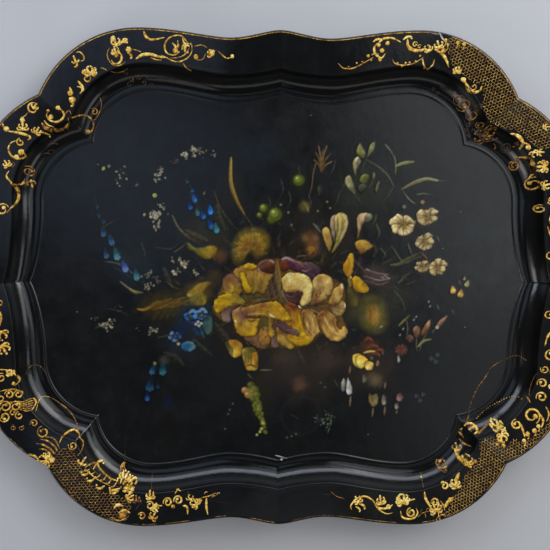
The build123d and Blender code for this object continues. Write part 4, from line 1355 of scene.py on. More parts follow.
BRUSH_PRESSURE = 0.86  # share of its full width that a brush leaves
SUNK = -0.05  # depth of a stroke's edges below the lacquer
BUD_SIDES = 10
LIT_FROM = np.array([-0.55, 0.83])
TOP_OF_GOLD = CAD_SIZE.z - 0.01
ABOVE = 0.06  # metres, from where strokes are dropped on the pan


class Gilding:
    """Raised strokes of gold, gathered in millimetres and then laid down on the pan."""

    def __init__(self, seed):
        self.points, self.faces = [], []
        self.random = np.random.default_rng(seed)

    def ribbon(self, line, half, tone, lift=0.16, across=5):
        """A band along a line with a crowned top: a closed sliver dipping into the lacquer."""
        line = np.asarray(line, float)
        half = np.broadcast_to(half, len(line)) * BRUSH_PRESSURE
        along = np.gradient(line, axis=0)
        along = along / np.maximum(np.hypot(*along.T), 1e-9)[:, None]
        side = np.stack([-along[:, 1], along[:, 0]], -1)
        lit = side @ LIT_FROM
        first = len(self.points)
        worn = np.broadcast_to(tone, len(line)) + self.random.normal(0, 0.04, len(line))
        for k, (place, out, reach) in enumerate(zip(line, side, half)):
            for u in np.linspace(-1, 1, across):
                crown = (1 - u * u) * lift * min(1, 0.4 + reach)
                # painted highlight on the side of the stroke that faces LIT_FROM, and painted
                # shade towards both edges
                shade = worn[k] + 0.06 + 0.3 * u * lit[k] - 0.5 * u * u
                self.points.append((*(place + out * u * reach), crown + SUNK, shade))
        last = first + (len(line) - 1) * across
        for a in range(first, last, across):
            b = a + across
            for j in range(across - 1):
                self.faces.append((a + j, b + j, b + j + 1, a + j + 1))
            self.faces.append((a + across - 1, b + across - 1, b, a))
        self.faces.append(tuple(range(first, first + across)))
        self.faces.append(tuple(range(last + across - 1, last - 1, -1)))

    def stroke(self, *points, w=3.0, belly=0.35, tone=0.7, lift=0.16):
        """A brush stroke through points that swells to its width and tapers off."""
        line = curve(points, 8)
        share = np.linspace(0, 1, len(line))
        swell = np.clip(share / belly, 0, 1) * np.clip((1 - share) / (1 - belly), 0, 1)
        reach = lengths(line)
        lobe = np.sin(reach * 0.75 + self.random.uniform(0, 6)) * (w > 3.4)
        self.ribbon(line, w / 2 * (0.16 + 0.84 * np.sqrt(swell)), tone + 0.1 * lobe, lift)

    def line(self, *points, w=1.0, tone=0.6, lift=0.08):
        """A thin line of even width."""
        self.ribbon(curve(points, 6), w / 2, tone, lift, 3)

    def bud(self, x, y, r, tone=0.75):
        """A round touch of gold."""
        first = len(self.points)
        for ring, height in ((1.0, SUNK), (0.62, 0.14)):
            for k in range(BUD_SIDES):
                angle = 2 * math.pi * k / BUD_SIDES
                wobble = r * ring * (1 + self.random.uniform(-0.12, 0.12))
                # painted highlight on the upper left side and painted shade round the outer rim;
                # the middle point below is painted lighter as a highlight on top
                shade = tone + 0.12 * math.cos(angle - 2.2) * ring - 0.25 * (ring == 1.0)
                place = x + wobble * math.cos(angle), y + wobble * math.sin(angle)
                self.points.append((*place, height, shade))
        self.points.append((x, y, 0.2, tone + 0.08))
        upper = first + BUD_SIDES
        for k in range(BUD_SIDES):
            n = (k + 1) % BUD_SIDES
            self.faces.append((first + k, first + n, upper + n, upper + k))
            self.faces.append((upper + k, upper + n, upper + BUD_SIDES))
        self.faces.append(tuple(range(upper - 1, first - 1, -1)))

    def curl(self, x, y, r, start, turns=1.1, w=3.0, tone=0.7, eye=0.34):
        """A scroll that winds inwards to a round eye; negative turns wind clockwise."""
        share = np.linspace(0, 1, int(10 + 14 * abs(turns)))
        angle = math.radians(start) + 2 * math.pi * turns * share
        radius = r * (1 - 0.62 * share)
        line = np.stack([x + radius * np.cos(angle), y + radius * np.sin(angle)], -1)
        half = w / 2 * (0.25 + 0.75 * np.sin(np.pi * np.clip(share * 0.9 + 0.08, 0, 1)))
        self.ribbon(line, half, tone)
        self.bud(*line[-1], r * eye, tone + 0.05)

    def leaf(self, x, y, angle, length, w=4.0, tone=0.7, bend=0.2):
        """A lobe that swells towards its round end and turns a little."""
        tip = direction(angle) * length
        across = np.array([-tip[1], tip[0]]) * bend
        start = np.array([x, y], float)
        middle = start + tip * 0.5 + across * 0.6
        self.stroke(start, middle, start + tip, w=w, belly=0.6, tone=tone)
        self.bud(*(start + tip * 0.9 - across * 0.7), w * 0.27, tone + 0.1)

    def fan(self, x, y, angle, spread, count, length, w=3.4, tone=0.7):
        """Leaves that open from one point, like a shell."""
        for k in range(count):
            t = k / (count - 1) - 0.5
            reach = length * (1 - 0.5 * abs(t)) * self.random.uniform(0.85, 1.1)
            width, bend = w * (1 - 0.3 * abs(t)), 0.25 * np.sign(t)
            self.leaf(x, y, angle + spread * t, reach, width, tone, bend)
        self.bud(x, y, w * 0.55, tone)

    def beads(self, *points, step=3.4, w=1.5, tone=0.6):
        """A row of small touches along a line."""
        line = curve(points, 12)
        reach = lengths(line)
        for s in np.arange(0, reach[-1], step):
            x, y = np.interp(s, reach, line[:, 0]), np.interp(s, reach, line[:, 1])
            jitter = self.random.uniform(-0.25, 0.25, 2)
            self.bud(x + jitter[0], y + jitter[1], w / 2 * self.random.uniform(0.7, 1.2), tone)

    def net(self, border, pitch, row, w, tone, turn=0.0):
        """Fish-scale mesh inside a border: six-sided cells in staggered rows."""
        border = np.asarray(border, float)
        rim = outline(EDGE) - outwards(outline(EDGE)) * 2.0
        ridge = outline(ARRIS) + outwards(outline(ARRIS)) * 1.0
        middle = border.mean(0)
        reach = np.hypot(*(border - middle).T).max()
        c, s = direction(turn)
        spin = np.array([[c, -s], [s, c]])
        count = int(reach / min(pitch, row)) + 2
        i, j = np.meshgrid(np.arange(-count, count + 1), np.arange(-count, count + 1))
        flat = np.stack([(i + 0.5 * (j % 2)) * pitch, j * row], -1).reshape(-1, 2)
        shape = np.array([(0.5, 0.3), (0, 0.62), (-0.5, 0.3), (-0.5, -0.3)]) * (pitch, row)
        for start, end in zip(shape[:-1], shape[1:]):
            bow = (start + end) / 2 + (0, 0.1 * row)
            ends = [(flat + p) @ spin.T + middle for p in (start, bow, end)]
            middles = ends[1][None]
            keep = (inside(middles, border) > 0) & (inside(middles, rim) > 0)
            keep = (keep & (inside(middles, ridge) < 0))[0]
            for a, b, d in zip(*(points[keep] for points in ends)):
                jitter = self.random.normal(0, 0.12, (3, 2))
                self.ribbon(np.array([a, b, d]) + jitter, w / 2 * self.random.uniform(0.75, 1.2),
                            tone + self.random.normal(0, 0.08), 0.1, 3)

    def lay_down(self, name, surface, material):
        """Drapes the gathered strokes on the pan and makes them one piece."""
        points = np.array(self.points)
        vertices = []
        for x, y, lift, _ in points:
            above = Vector((x * MM, y * MM, ABOVE))
            hit, normal, _, _ = surface.ray_cast(above, Vector((0, 0, -1)))
            if hit is None:
                close = Vector((x * MM, y * MM, WIRE_HEIGHT * MM))
                hit, normal, _, _ = surface.find_nearest(close)
            place = (hit + normal * lift * MM) / MM
            vertices.append((place.x, place.y, min(place.z, TOP_OF_GOLD)))
        piece = make_mesh(name, vertices, self.faces)
        layer = piece.data.color_attributes.new("gold_shade", "FLOAT_COLOR", "POINT")
        shade = np.clip(points[:, 3], 0, 1)
        colour = np.column_stack([shade, shade, shade, np.ones(len(shade))])
        layer.data.foreach_set("color", colour.ravel())
        settle(piece, material)


def gild_far_left(g):
    """Scrolls round the far left corner."""
    g.stroke((-167, 309), (-164.5, 303), (-159.5, 299.5), (-152, 300), (-142, 302), w=5.5,
        belly=0.2)
    g.stroke((-113, 295), (-121.5, 304), (-133.5, 303), (-140.5, 296.5), (-142, 289.5),
        (-138.5, 283.5), (-130, 282), (-124, 286), w=3.6, belly=0.5)
    g.leaf(-133, 296, -60, 10, 5, 0.8)
    g.leaf(-126, 299, -100, 12, 4.5, 0.75)
    g.bud(-129, 287, 4, 0.7)
    g.leaf(-120, 302, -50, 13, 5, 0.8, -0.3)
    g.leaf(-113, 296, -110, 12, 5.5, 0.75, -0.3)
    g.leaf(-121, 288, 60, 9, 4, 0.7)
    g.stroke((-109, 296), (-109, 286), (-114, 279), (-123, 274.5), (-132, 275), (-140.5, 279),
        (-147, 282), w=3.0, belly=0.5)
    g.stroke((-112, 290), (-117, 283), (-126, 279), (-136, 278.5), w=2.2, tone=0.6)
    g.stroke((-178, 277), (-170, 281.5), (-160, 282.5), (-150, 280), (-142, 279), w=6.6, belly=0.3,
        tone=0.78)
    g.stroke((-160, 279), (-153, 276.5), (-146, 276), w=2.4)
    g.stroke((-120, 272.5), (-116, 267), (-110, 264.5), w=2.2, tone=0.6)
    g.stroke((-106, 292), (-97, 293.5), (-90, 290.5), w=2.4, tone=0.6)
    g.line((-90, 290), (-80, 288.5), (-70, 283), w=0.8, tone=0.4)
    g.fan(-84, 283, 140, 150, 4, 8, 4.5, 0.75)
    g.bud(-84.5, 284, 3.8)
    g.bud(-104, 280, 3.4)
    g.stroke((-104, 276.5), (-96, 277), (-92, 284), w=1.8, tone=0.55)
    g.stroke((-77, 287), (-71.5, 282), (-66, 278.5), (-59, 280), w=2.4, tone=0.65)
    g.bud(-59.5, 281, 2.6)
    g.stroke((-208.5, 290), (-212, 283), (-210.5, 275), (-204, 269), (-196, 270), (-190.5, 274),
        w=2.2, tone=0.6)
    g.stroke((-199, 286), (-195, 280), (-197, 273), (-204, 271), (-208, 275.5), w=4.6, tone=0.75)
    g.fan(-202, 283, 100, 160, 5, 8, 4.2, 0.8)
    g.bud(-201, 281, 3.2, 0.65)
    g.fan(-201, 293, 105, 100, 3, 11, 5.0, 0.8)
    g.leaf(-198, 292, 30, 12, 5.5, 0.75)
    g.bud(-204.5, 299.5, 3.6, 0.8)
    g.bud(-190, 298, 3.8, 0.8)
    g.bud(-186, 287.5, 4.2, 0.8)
    g.leaf(-188, 285, -50, 9, 5, 0.75)
    g.stroke((-182, 288.5), (-176, 287), (-171, 285.5), w=2.2, tone=0.6)
    g.stroke((-213, 263), (-204, 262), (-196, 264), (-189, 267.5), w=1.4, tone=0.45)
    g.stroke((-221, 266), (-217, 265), (-213, 263), w=1.6, tone=0.75)
    g.stroke((-249, 283), (-244.5, 283.5), (-240.5, 279), (-240.5, 274.5), (-244.5, 273), w=3.2,
        tone=0.7)
    g.fan(-250, 272, 110, 170, 3, 7, 4.4, 0.78)
    g.leaf(-249, 273, -100, 8, 4.5)
    g.fan(-233, 259, 100, 200, 6, 10, 5, 0.78)
    g.bud(-229, 258.5, 3.8, 0.8)
    g.bud(-241, 260, 3.4, 0.7)
    g.curl(-238, 253, 5, 60, -0.9, 3, 0.6)
    g.leaf(-232, 268, -80, 9, 5)
    g.stroke((-249, 250), (-245, 245), (-243, 240), (-247, 234.5), w=5.4, tone=0.75)
    g.leaf(-250, 243, -20, 7, 3.4)
    g.leaf(-259, 242, -80, 7, 5, 0.8)
    g.bud(-258, 235, 3.8, 0.75)
    g.bud(-256.5, 227, 4.6, 0.8)
    g.leaf(-257, 228, -85, 9, 5)
    g.stroke((-274, 216.5), (-269, 214), (-266.5, 208.5), (-270, 203), (-277, 200), (-284, 202),
        (-287.5, 207), (-286, 212), w=4.4, tone=0.78)
    g.bud(-273.5, 217, 3.2, 0.8)
    g.bud(-282.5, 206, 3.4, 0.75)
    g.bud(-285.5, 213, 2.4, 0.7)
    g.stroke((-294, 199), (-290, 193), (-281, 190), (-271, 192), (-264, 199), w=8.5, belly=0.42,
        tone=0.68)
    g.stroke((-291, 202), (-287, 196.5), (-280, 194), w=3.4, tone=0.8)
    g.stroke((-266, 209), (-261, 214), (-258, 210), w=1.8, tone=0.55)
    g.stroke((-262, 206), (-262, 201), (-264, 197), w=1.4, tone=0.5)
    g.curl(-303, 215.5, 7.5, 40, 1.0, 3.4, 0.7)
    g.fan(-302, 216, 60, 120, 3, 7, 4, 0.75)
    g.stroke((-309, 211), (-314, 206), (-318, 205), w=2.2, tone=0.6)
    g.bud(-316.5, 201.5, 3.6, 0.78)
    g.fan(-316.5, 191, 90, 190, 5, 9, 4.8, 0.78)
    g.bud(-336, 190.5, 4.0, 0.8)
    g.leaf(-336, 192, 140, 6, 3.6)
    g.stroke((-334, 188), (-324, 186.5), (-315, 184.5), (-308.5, 181), (-312, 177.5), w=5.4,
        tone=0.78)
    g.fan(-301.5, 187, 60, 200, 5, 8, 4.6, 0.78)
    g.leaf(-299, 186, -5, 12, 4)
    g.stroke((-323, 177.5), (-331.5, 174), (-335, 166.5), (-332, 158.5), (-324, 154.5),
        (-317, 158), (-317.5, 164), w=4.0, belly=0.5, tone=0.7)
    g.bud(-320.5, 163, 4.4, 0.8)
    g.bud(-326, 157, 3.6, 0.8)
    g.curl(-320.5, 175, 5, 100, 1.0, 3, 0.7)
    g.fan(-337, 146.5, 120, 220, 5, 7, 4.5, 0.78)
    g.stroke((-331, 152), (-329, 148), (-332, 144), w=1.6, tone=0.5)
    g.stroke((-336, 140), (-339, 133), (-334, 126), (-329.5, 117), (-329, 107), (-333, 97),
        (-340, 88), w=4.6, belly=0.5, tone=0.75)
    g.curl(-345, 92, 8, 20, 1.1, 3.6, 0.7)
    # brown scrolls that run down into the cove
    g.curl(-317, 140, 7, 120, -1.3, 3.2, 0.42)
    g.fan(-316, 128, -80, 120, 3, 9, 4.6, 0.45)
    g.leaf(-322, 131, -120, 10, 4.5, 0.5)
    g.bud(-331, 122, 2.6, 0.45)
    g.stroke((-259, 205), (-252, 209.5), (-244, 210.5), (-238, 205), (-236.5, 197), (-241.5, 190),
        (-247.5, 194), w=4.2, tone=0.5)
    g.curl(-235, 216, 4.6, 130, -1.0, 2.6, 0.48)
    g.stroke((-227, 234), (-226, 224), (-230, 213), (-237, 204), w=2.4, tone=0.42)
    g.bud(-243, 191, 3, 0.55)
    for x, y in ((-192, 263), (-186, 256), (-178, 259), (-172, 253), (-166, 258), (-190, 250),
            (-163, 250)):
        g.curl(x, y, 3, x * 9 % 360, 0.8, 1.4, 0.22)
    for x, y in ((-286, 174), (-290, 166), (-296, 162)):
        g.stroke((x - 4, y), (x, y + 1.5), (x + 5, y + 1), w=2.0, tone=0.2)


def gild_far_right(g):
    """Scrolls round the far right corner, and its panel of mesh."""
    g.stroke((71, 274), (77.5, 268.5), (88, 268), (97, 271.5), (106, 276.5), (115, 281.5), w=2.8,
        tone=0.62)
    for x, y, r in ((94, 274.5, 1.5), (108, 283, 2.3), (101, 276, 1.3), (84, 270, 1.2),
            (112, 278, 1.4)):
        g.bud(x, y, r, 0.65)
    g.leaf(113, 299, 20, 11, 4.6, 0.78)
    g.stroke((119, 297), (126, 303), (137, 303.8), (148, 299.5), w=4.6, belly=0.35, tone=0.75)
    g.stroke((121, 299), (115.8, 294), (115.5, 288.5), (119, 283.5), (125, 281), (129, 286), w=5.0,
        tone=0.75)
    g.bud(125, 289.5, 3.2, 0.7)
    g.bud(131.5, 298, 3.0, 0.75)
    g.bud(123, 279, 2.6, 0.6)
    g.leaf(112, 284, 10, 9, 3.2, 0.65)
    g.bud(120.5, 295.5, 2.8, 0.75)
    g.leaf(150, 302, 20, 12, 5, 0.8)
    g.stroke((156, 303), (157, 295), (163.5, 290.5), (173, 290.2), (179, 292.5), w=7.2, belly=0.4,
        tone=0.78)
    g.curl(165.5, 297, 3.4, 30, 0.9, 2.4, 0.75)
    g.curl(171, 294.5, 2.6, 30, 0.8, 2, 0.7)
    g.stroke((138, 281), (141, 275.5), (148, 273), (156, 273), (165, 275), (172, 279),
        (177, 282.5), w=2.4, tone=0.6)
    for x, y in ((145, 275), (151, 271.8), (160, 276.2), (167.5, 277.6), (172.5, 284),
            (155, 275.6), (176, 279)):
        g.bud(x, y, 1.5, 0.62)
    g.line((130, 282), (137, 280), (142, 276), w=0.8, tone=0.35)
    g.line((141, 296), (148, 291), (153, 289), w=0.8, tone=0.3)
    g.stroke((176, 281), (177.5, 274), (181, 269.8), (185.5, 270), (189.5, 274.5), (190.5, 280),
        w=3.6, tone=0.75)
    g.fan(183, 290, 120, 170, 4, 8, 4.6, 0.78)
    g.fan(195.5, 294, 110, 220, 5, 8, 4.8, 0.8)
    g.bud(201, 290, 3.6, 0.75)
    g.stroke((190, 291), (198.5, 287), (204.5, 280.5), (209, 270.5), w=6.2, belly=0.5, tone=0.7)
    for x, y, r in ((203, 302, 2.6), (218, 299.5, 2.8), (225.5, 297.5, 2.6), (206, 297, 1.8)):
        g.bud(x, y, r, 0.75)
        g.leaf(x, y - 1, -100, 6, 3, 0.6)
    g.fan(219.5, 265.5, 90, 240, 6, 6.5, 4.2, 0.8)
    g.bud(227.5, 255.5, 3.8, 0.75)
    g.stroke((226, 258), (231, 251), (236, 244), (242, 240.5), (248.5, 242.5), (250.5, 248), w=6.4,
        belly=0.5, tone=0.78)
    g.curl(241, 247, 4.2, 190, 0.9, 2.8, 0.65)
    for x, y, r, start, turns, tone in ((229, 234, 7, 150, 1.4, 0.34),
            (234.5, 227.5, 8, 200, 1.3, 0.4), (224, 240, 4, 90, 1.0, 0.3),
            (245, 214.5, 6.5, 150, 1.3, 0.42), (254.5, 202, 4.6, 120, 1.2, 0.36),
            (250, 222, 4.5, 40, 1.0, 0.32), (243, 203, 3.0, 60, 1.0, 0.3)):
        g.curl(x, y, r, start, turns, r * 0.42, tone)
    g.fan(264, 187, 160, 150, 5, 14, 5, 0.36)
    g.fan(262, 190, 20, 120, 4, 15, 5, 0.4)
    g.stroke((252, 194), (264, 182), (280, 186), w=3.0, tone=0.35)
    g.leaf(275, 180, -60, 8, 3, 0.4)
    g.stroke((289, 190), (298, 187.5), (304.5, 180), (305, 171), w=7.2, belly=0.5, tone=0.76)
    g.bud(299, 177, 3.2, 0.6)
    g.curl(290, 174, 6.6, 200, 1.5, 1.6, 0.16, 0.2)
    g.leaf(306, 179, -40, 12, 5, 0.8)
    g.bud(311.5, 172.5, 3.4, 0.8)
    g.fan(319, 167, -60, 200, 4, 7, 4, 0.8)
    g.stroke((306, 162), (314.5, 160), (320.5, 152.5), (323, 142), (320.5, 134), w=6.4, belly=0.5,
        tone=0.76)
    g.curl(303.5, 151.5, 7, 120, 1.3, 4.2, 0.45)
    g.fan(306, 158, 200, 150, 3, 9, 4, 0.42)
    g.fan(333, 149, 180, 250, 7, 10, 5.4, 0.76)
    g.curl(325, 127.5, 9, 80, 1.2, 3.8, 0.66)
    g.fan(334, 125, 20, 220, 5, 8, 4.6, 0.76)
    g.fan(330.5, 198, 0, 300, 5, 5, 3.4, 0.75)
    g.fan(326.5, 167, 0, 300, 5, 5.5, 3.6, 0.75)
    g.curl(332, 96, 5.5, 60, 1.2, 3, 0.7)
    g.fan(345, 104, 80, 220, 5, 9, 5, 0.74)
    g.stroke((349, 140), (356, 128), (357, 114), (350, 104), w=5.0, tone=0.74)
    g.curl(350, 82, 9, 60, 1.1, 4, 0.72)
    g.stroke((340, 74), (345, 62), (354, 52), (356, 40), w=4.6, tone=0.72)
    g.curl(345, 36, 6, 20, 1.0, 3.2, 0.7)
    g.leaf(345, 158, 30, 14, 5, 0.74)
    for x, y in ((196, 248), (202, 243), (196, 239), (207, 250), (243, 190), (248, 196),
            (240, 197)):
        g.curl(x, y, 2.6, x * 7 % 360, 0.8, 1.2, 0.2)
    g.net([(202, 318), (204, 298), (208, 284), (213, 272), (228, 262), (241, 252), (252, 250),
        (253, 236), (254, 218), (262, 205), (276, 194), (290, 196), (304, 190), (314, 178),
        (324, 172), (342, 172), (352, 182), (335, 205), (318, 226), (296, 250), (270, 290),
        (235, 310)], 4.2, 3.4, 1.15, 0.64, 20)


def gild_near_left(g):
    """Scrolls round the near left corner, and its panel of mesh."""
    g.fan(-350, -62, -70, 160, 4, 12, 5, 0.7)
    g.fan(-350, -80, -60, 180, 5, 12, 6, 0.72)
    g.stroke((-356, -30), (-350, -42), (-352, -54), w=4.6, tone=0.7)
    g.curl(-352, -24, 6, 100, 1.0, 3, 0.66)
    g.stroke((-355, -109), (-343.5, -111), (-334.5, -117), (-331, -125.5), (-336, -131), w=3.6,
        tone=0.68)
    g.fan(-340, -116, 120, 160, 4, 8, 5.4, 0.8)
    g.bud(-337, -128, 2.8, 0.7)
    g.curl(-352, -120, 6, 60, 1.2, 3.4, 0.68)
    for x, y, r, start, turns, w in ((-342.5, -142, 5.6, 170, -1.2, 3.4),
            (-331.5, -142, 5.6, 170, -1.2, 3.4), (-353, -146, 6, 90, 1.1, 3.4),
            (-347, -157, 7.4, 180, -1.3, 3.6), (-335, -157, 6.6, 160, -1.3, 3.6),
            (-348, -170, 6.6, 200, 1.2, 3.6), (-330.5, -169, 5.2, 100, 1.0, 3.6),
            (-338, -165, 4.2, 20, 1.0, 2.8)):
        g.curl(x, y, r, start, turns, w, 0.66)
    g.stroke((-356, -138), (-344, -135.5), (-333, -136), (-326, -142), w=2.4, tone=0.62)
    g.stroke((-355, -166), (-351, -157), (-342, -152), (-332, -151), (-326, -152), w=2.6, tone=0.6)
    g.stroke((-352, -186), (-355, -176), (-347, -166), w=2.4, tone=0.6)
    for k in range(6):
        y = -150.5 - 2.5 * k
        g.stroke((-332, -154 - k * 1.2), (-323, y - 0.5), (-315.5 - 0.25 * (k - 2.5)**2, y), w=2.4,
            belly=0.7, tone=0.6)
    g.stroke((-317, -150), (-313.5, -156), (-316, -164), w=3.4, tone=0.75)
    g.curl(-337, -184, 3.6, 90, 1.0, 1.8, 0.45)
    g.curl(-328, -184.5, 3.6, 60, -1.0, 1.8, 0.45)
    g.curl(-312.5, -179.5, 5, 200, -1.1, 2.8, 0.6)
    g.curl(-301, -191, 7.8, 100, 1.15, 3.2, 0.6, 0.24)
    g.stroke((-280.5, -205), (-276.5, -197), (-267.5, -193), (-260, -196.5), (-256.5, -203), w=3.8,
        tone=0.75)
    g.curl(-264, -209, 5.8, 160, 1.2, 2.4, 0.62)
    g.stroke((-258, -201), (-253.5, -208.5), (-254, -217), (-258, -222), w=2.0, tone=0.6)
    for points, w in (
            (((-309, -205), (-300, -207), (-291, -213), (-286, -219)), 4.6),
            (((-305, -199.5), (-295, -202.5), (-286, -210), (-282, -217)), 4.0),
            (((-306, -212), (-298, -213), (-291, -219), (-288, -225)), 4.0),
            (((-298, -197), (-289, -199), (-283, -206), (-280, -213)), 3.2)):
        g.stroke(*points, w=w, belly=0.6, tone=0.52)
    g.fan(-296, -226, 160, 260, 8, 12, 5, 0.66)
    g.bud(-289, -226, 4.2, 0.75)
    g.bud(-296, -222, 3.4, 0.75)
    g.leaf(-318, -219, -25, 14, 5, 0.62)
    g.leaf(-320, -220, 20, 6, 3, 0.6)
    g.fan(-253, -233, 60, 160, 3, 8, 5, 0.75)
    for x, y, angle in ((-247, -245, 200), (-240, -253, 200), (-228, -264, 190), (-243, -243, 30)):
        g.leaf(x + 4, y + 2, angle, 11, 5.5, 0.72, 0.35)
    # lines and leaves that cross the cove
    g.line((-312, -166), (-311.5, -157.5), (-309.5, -152), (-305.5, -150.5), (-298, -152.5), w=1.4,
        tone=0.8)
    g.stroke((-299, -152), (-286, -161), (-273, -172.5), (-263, -188.5), (-258.5, -199), w=2.8,
        tone=0.45)
    g.line((-326.5, -120.5), (-324, -112.5), (-317, -109), (-308.5, -113.5), (-303, -123), w=1.1,
        tone=0.45)
    g.stroke((-249, -238.5), (-244, -235), (-236.5, -237), (-231, -244.5), (-218, -255.5),
        (-204, -261.5), w=3.0, tone=0.6)
    g.stroke((-249, -239), (-242.5, -246), (-232, -254.5), (-217, -262.5), w=2.6, tone=0.7)
    for k in range(6):
        t = k / 5
        g.leaf(-243 + 33 * t, -240 - 20 * t, 200 + 20 * t, 7, 3.2, 0.7)
    for x in (-207, -203.5, -200):
        g.leaf(x, -252, 95 + (x + 203) * 4, 12, 2.8, 0.6)
    g.fan(-202, -260.5, 60, 220, 7, 11, 5.4, 0.76)
    g.fan(-193, -264, 20, 240, 6, 9, 5.4, 0.76)
    g.leaf(-203, -265, 190, 16, 6.4, 0.72)
    g.leaf(-206, -269, 195, 12, 5, 0.7)
    g.bud(-191, -270, 4.4, 0.76)
    g.bud(-198, -268, 4.0, 0.76)
    g.fan(-194, -279, 30, 200, 5, 8, 4.6, 0.74)
    g.stroke((-212, -291), (-207, -286.5), (-200, -288), w=6.6, belly=0.35, tone=0.74)
    g.stroke((-206, -296.5), (-198, -293.5), (-191, -297), w=5.4, tone=0.74)
    g.bud(-200.5, -299.5, 6.0, 0.5)
    g.stroke((-215, -302), (-205, -306), (-195, -303), w=3.0, tone=0.66)
    g.fan(-183, -282, 100, 220, 5, 7, 4.2, 0.45)
    g.line((-184, -293), (-179, -286), (-172, -283), w=1.0, tone=0.35)
    g.fan(-165.5, -278.5, 100, 200, 5, 8, 4.8, 0.76)
    g.curl(-166, -288, 5.6, 140, -1.1, 3.6, 0.72)
    g.fan(-160.5, -290, -50, 200, 5, 7.5, 4.6, 0.76)
    g.curl(-176, -301, 5, 160, -1.1, 3.2, 0.62)
    g.fan(-162.5, -303, 60, 240, 5, 7.5, 4.2, 0.62)
    g.line((-166.5, -255), (-165.8, -267), (-162, -277), w=0.9, tone=0.5)
    g.line((-202, -208), (-202.3, -224), (-203, -242), w=0.8, tone=0.35)
    g.curl(-143, -284, 6, 200, -1.2, 4.0, 0.72)
    g.leaf(-150, -288, 170, 9, 4, 0.7)
    g.curl(-129.5, -281.5, 6, 200, -1.2, 4.2, 0.74)
    g.stroke((-134, -274), (-131, -269), (-126, -270), w=3.0, tone=0.66)
    g.bud(-136, -289, 3.2, 0.6)
    g.stroke((-124, -288), (-118, -290), (-117, -299), w=5.0, tone=0.74)
    g.line((-117, -270), (-117, -278), w=0.9, tone=0.55)
    g.fan(-114.5, -280, 70, 220, 4, 6, 3.4, 0.66)
    g.fan(-106, -286.5, 150, 240, 6, 9, 4.6, 0.76)
    g.bud(-101.5, -281.5, 3.2, 0.72)
    g.stroke((-93, -278), (-93, -289), (-91, -299), w=5.2, tone=0.74)
    g.stroke((-99, -278), (-90, -276), (-80.5, -272), w=2.4, tone=0.66)
    for x, y in ((-96, -273.5), (-86, -278), (-80, -274.5)):
        g.leaf(x, y, 40, 5, 2, 0.6)
    g.line((-90, -281), (-76, -283.5), (-64, -285), w=0.7, tone=0.3)
    g.net([(-284, -214), (-274, -211), (-262, -216), (-257, -228), (-252, -240), (-244, -256),
        (-230, -268), (-208, -274), (-196, -281), (-190, -288), (-193, -303), (-206, -320),
        (-240, -312), (-262, -290), (-282, -262), (-304, -238), (-290, -226)], 5.0, 3.3, 1.2, 0.52,
        0)


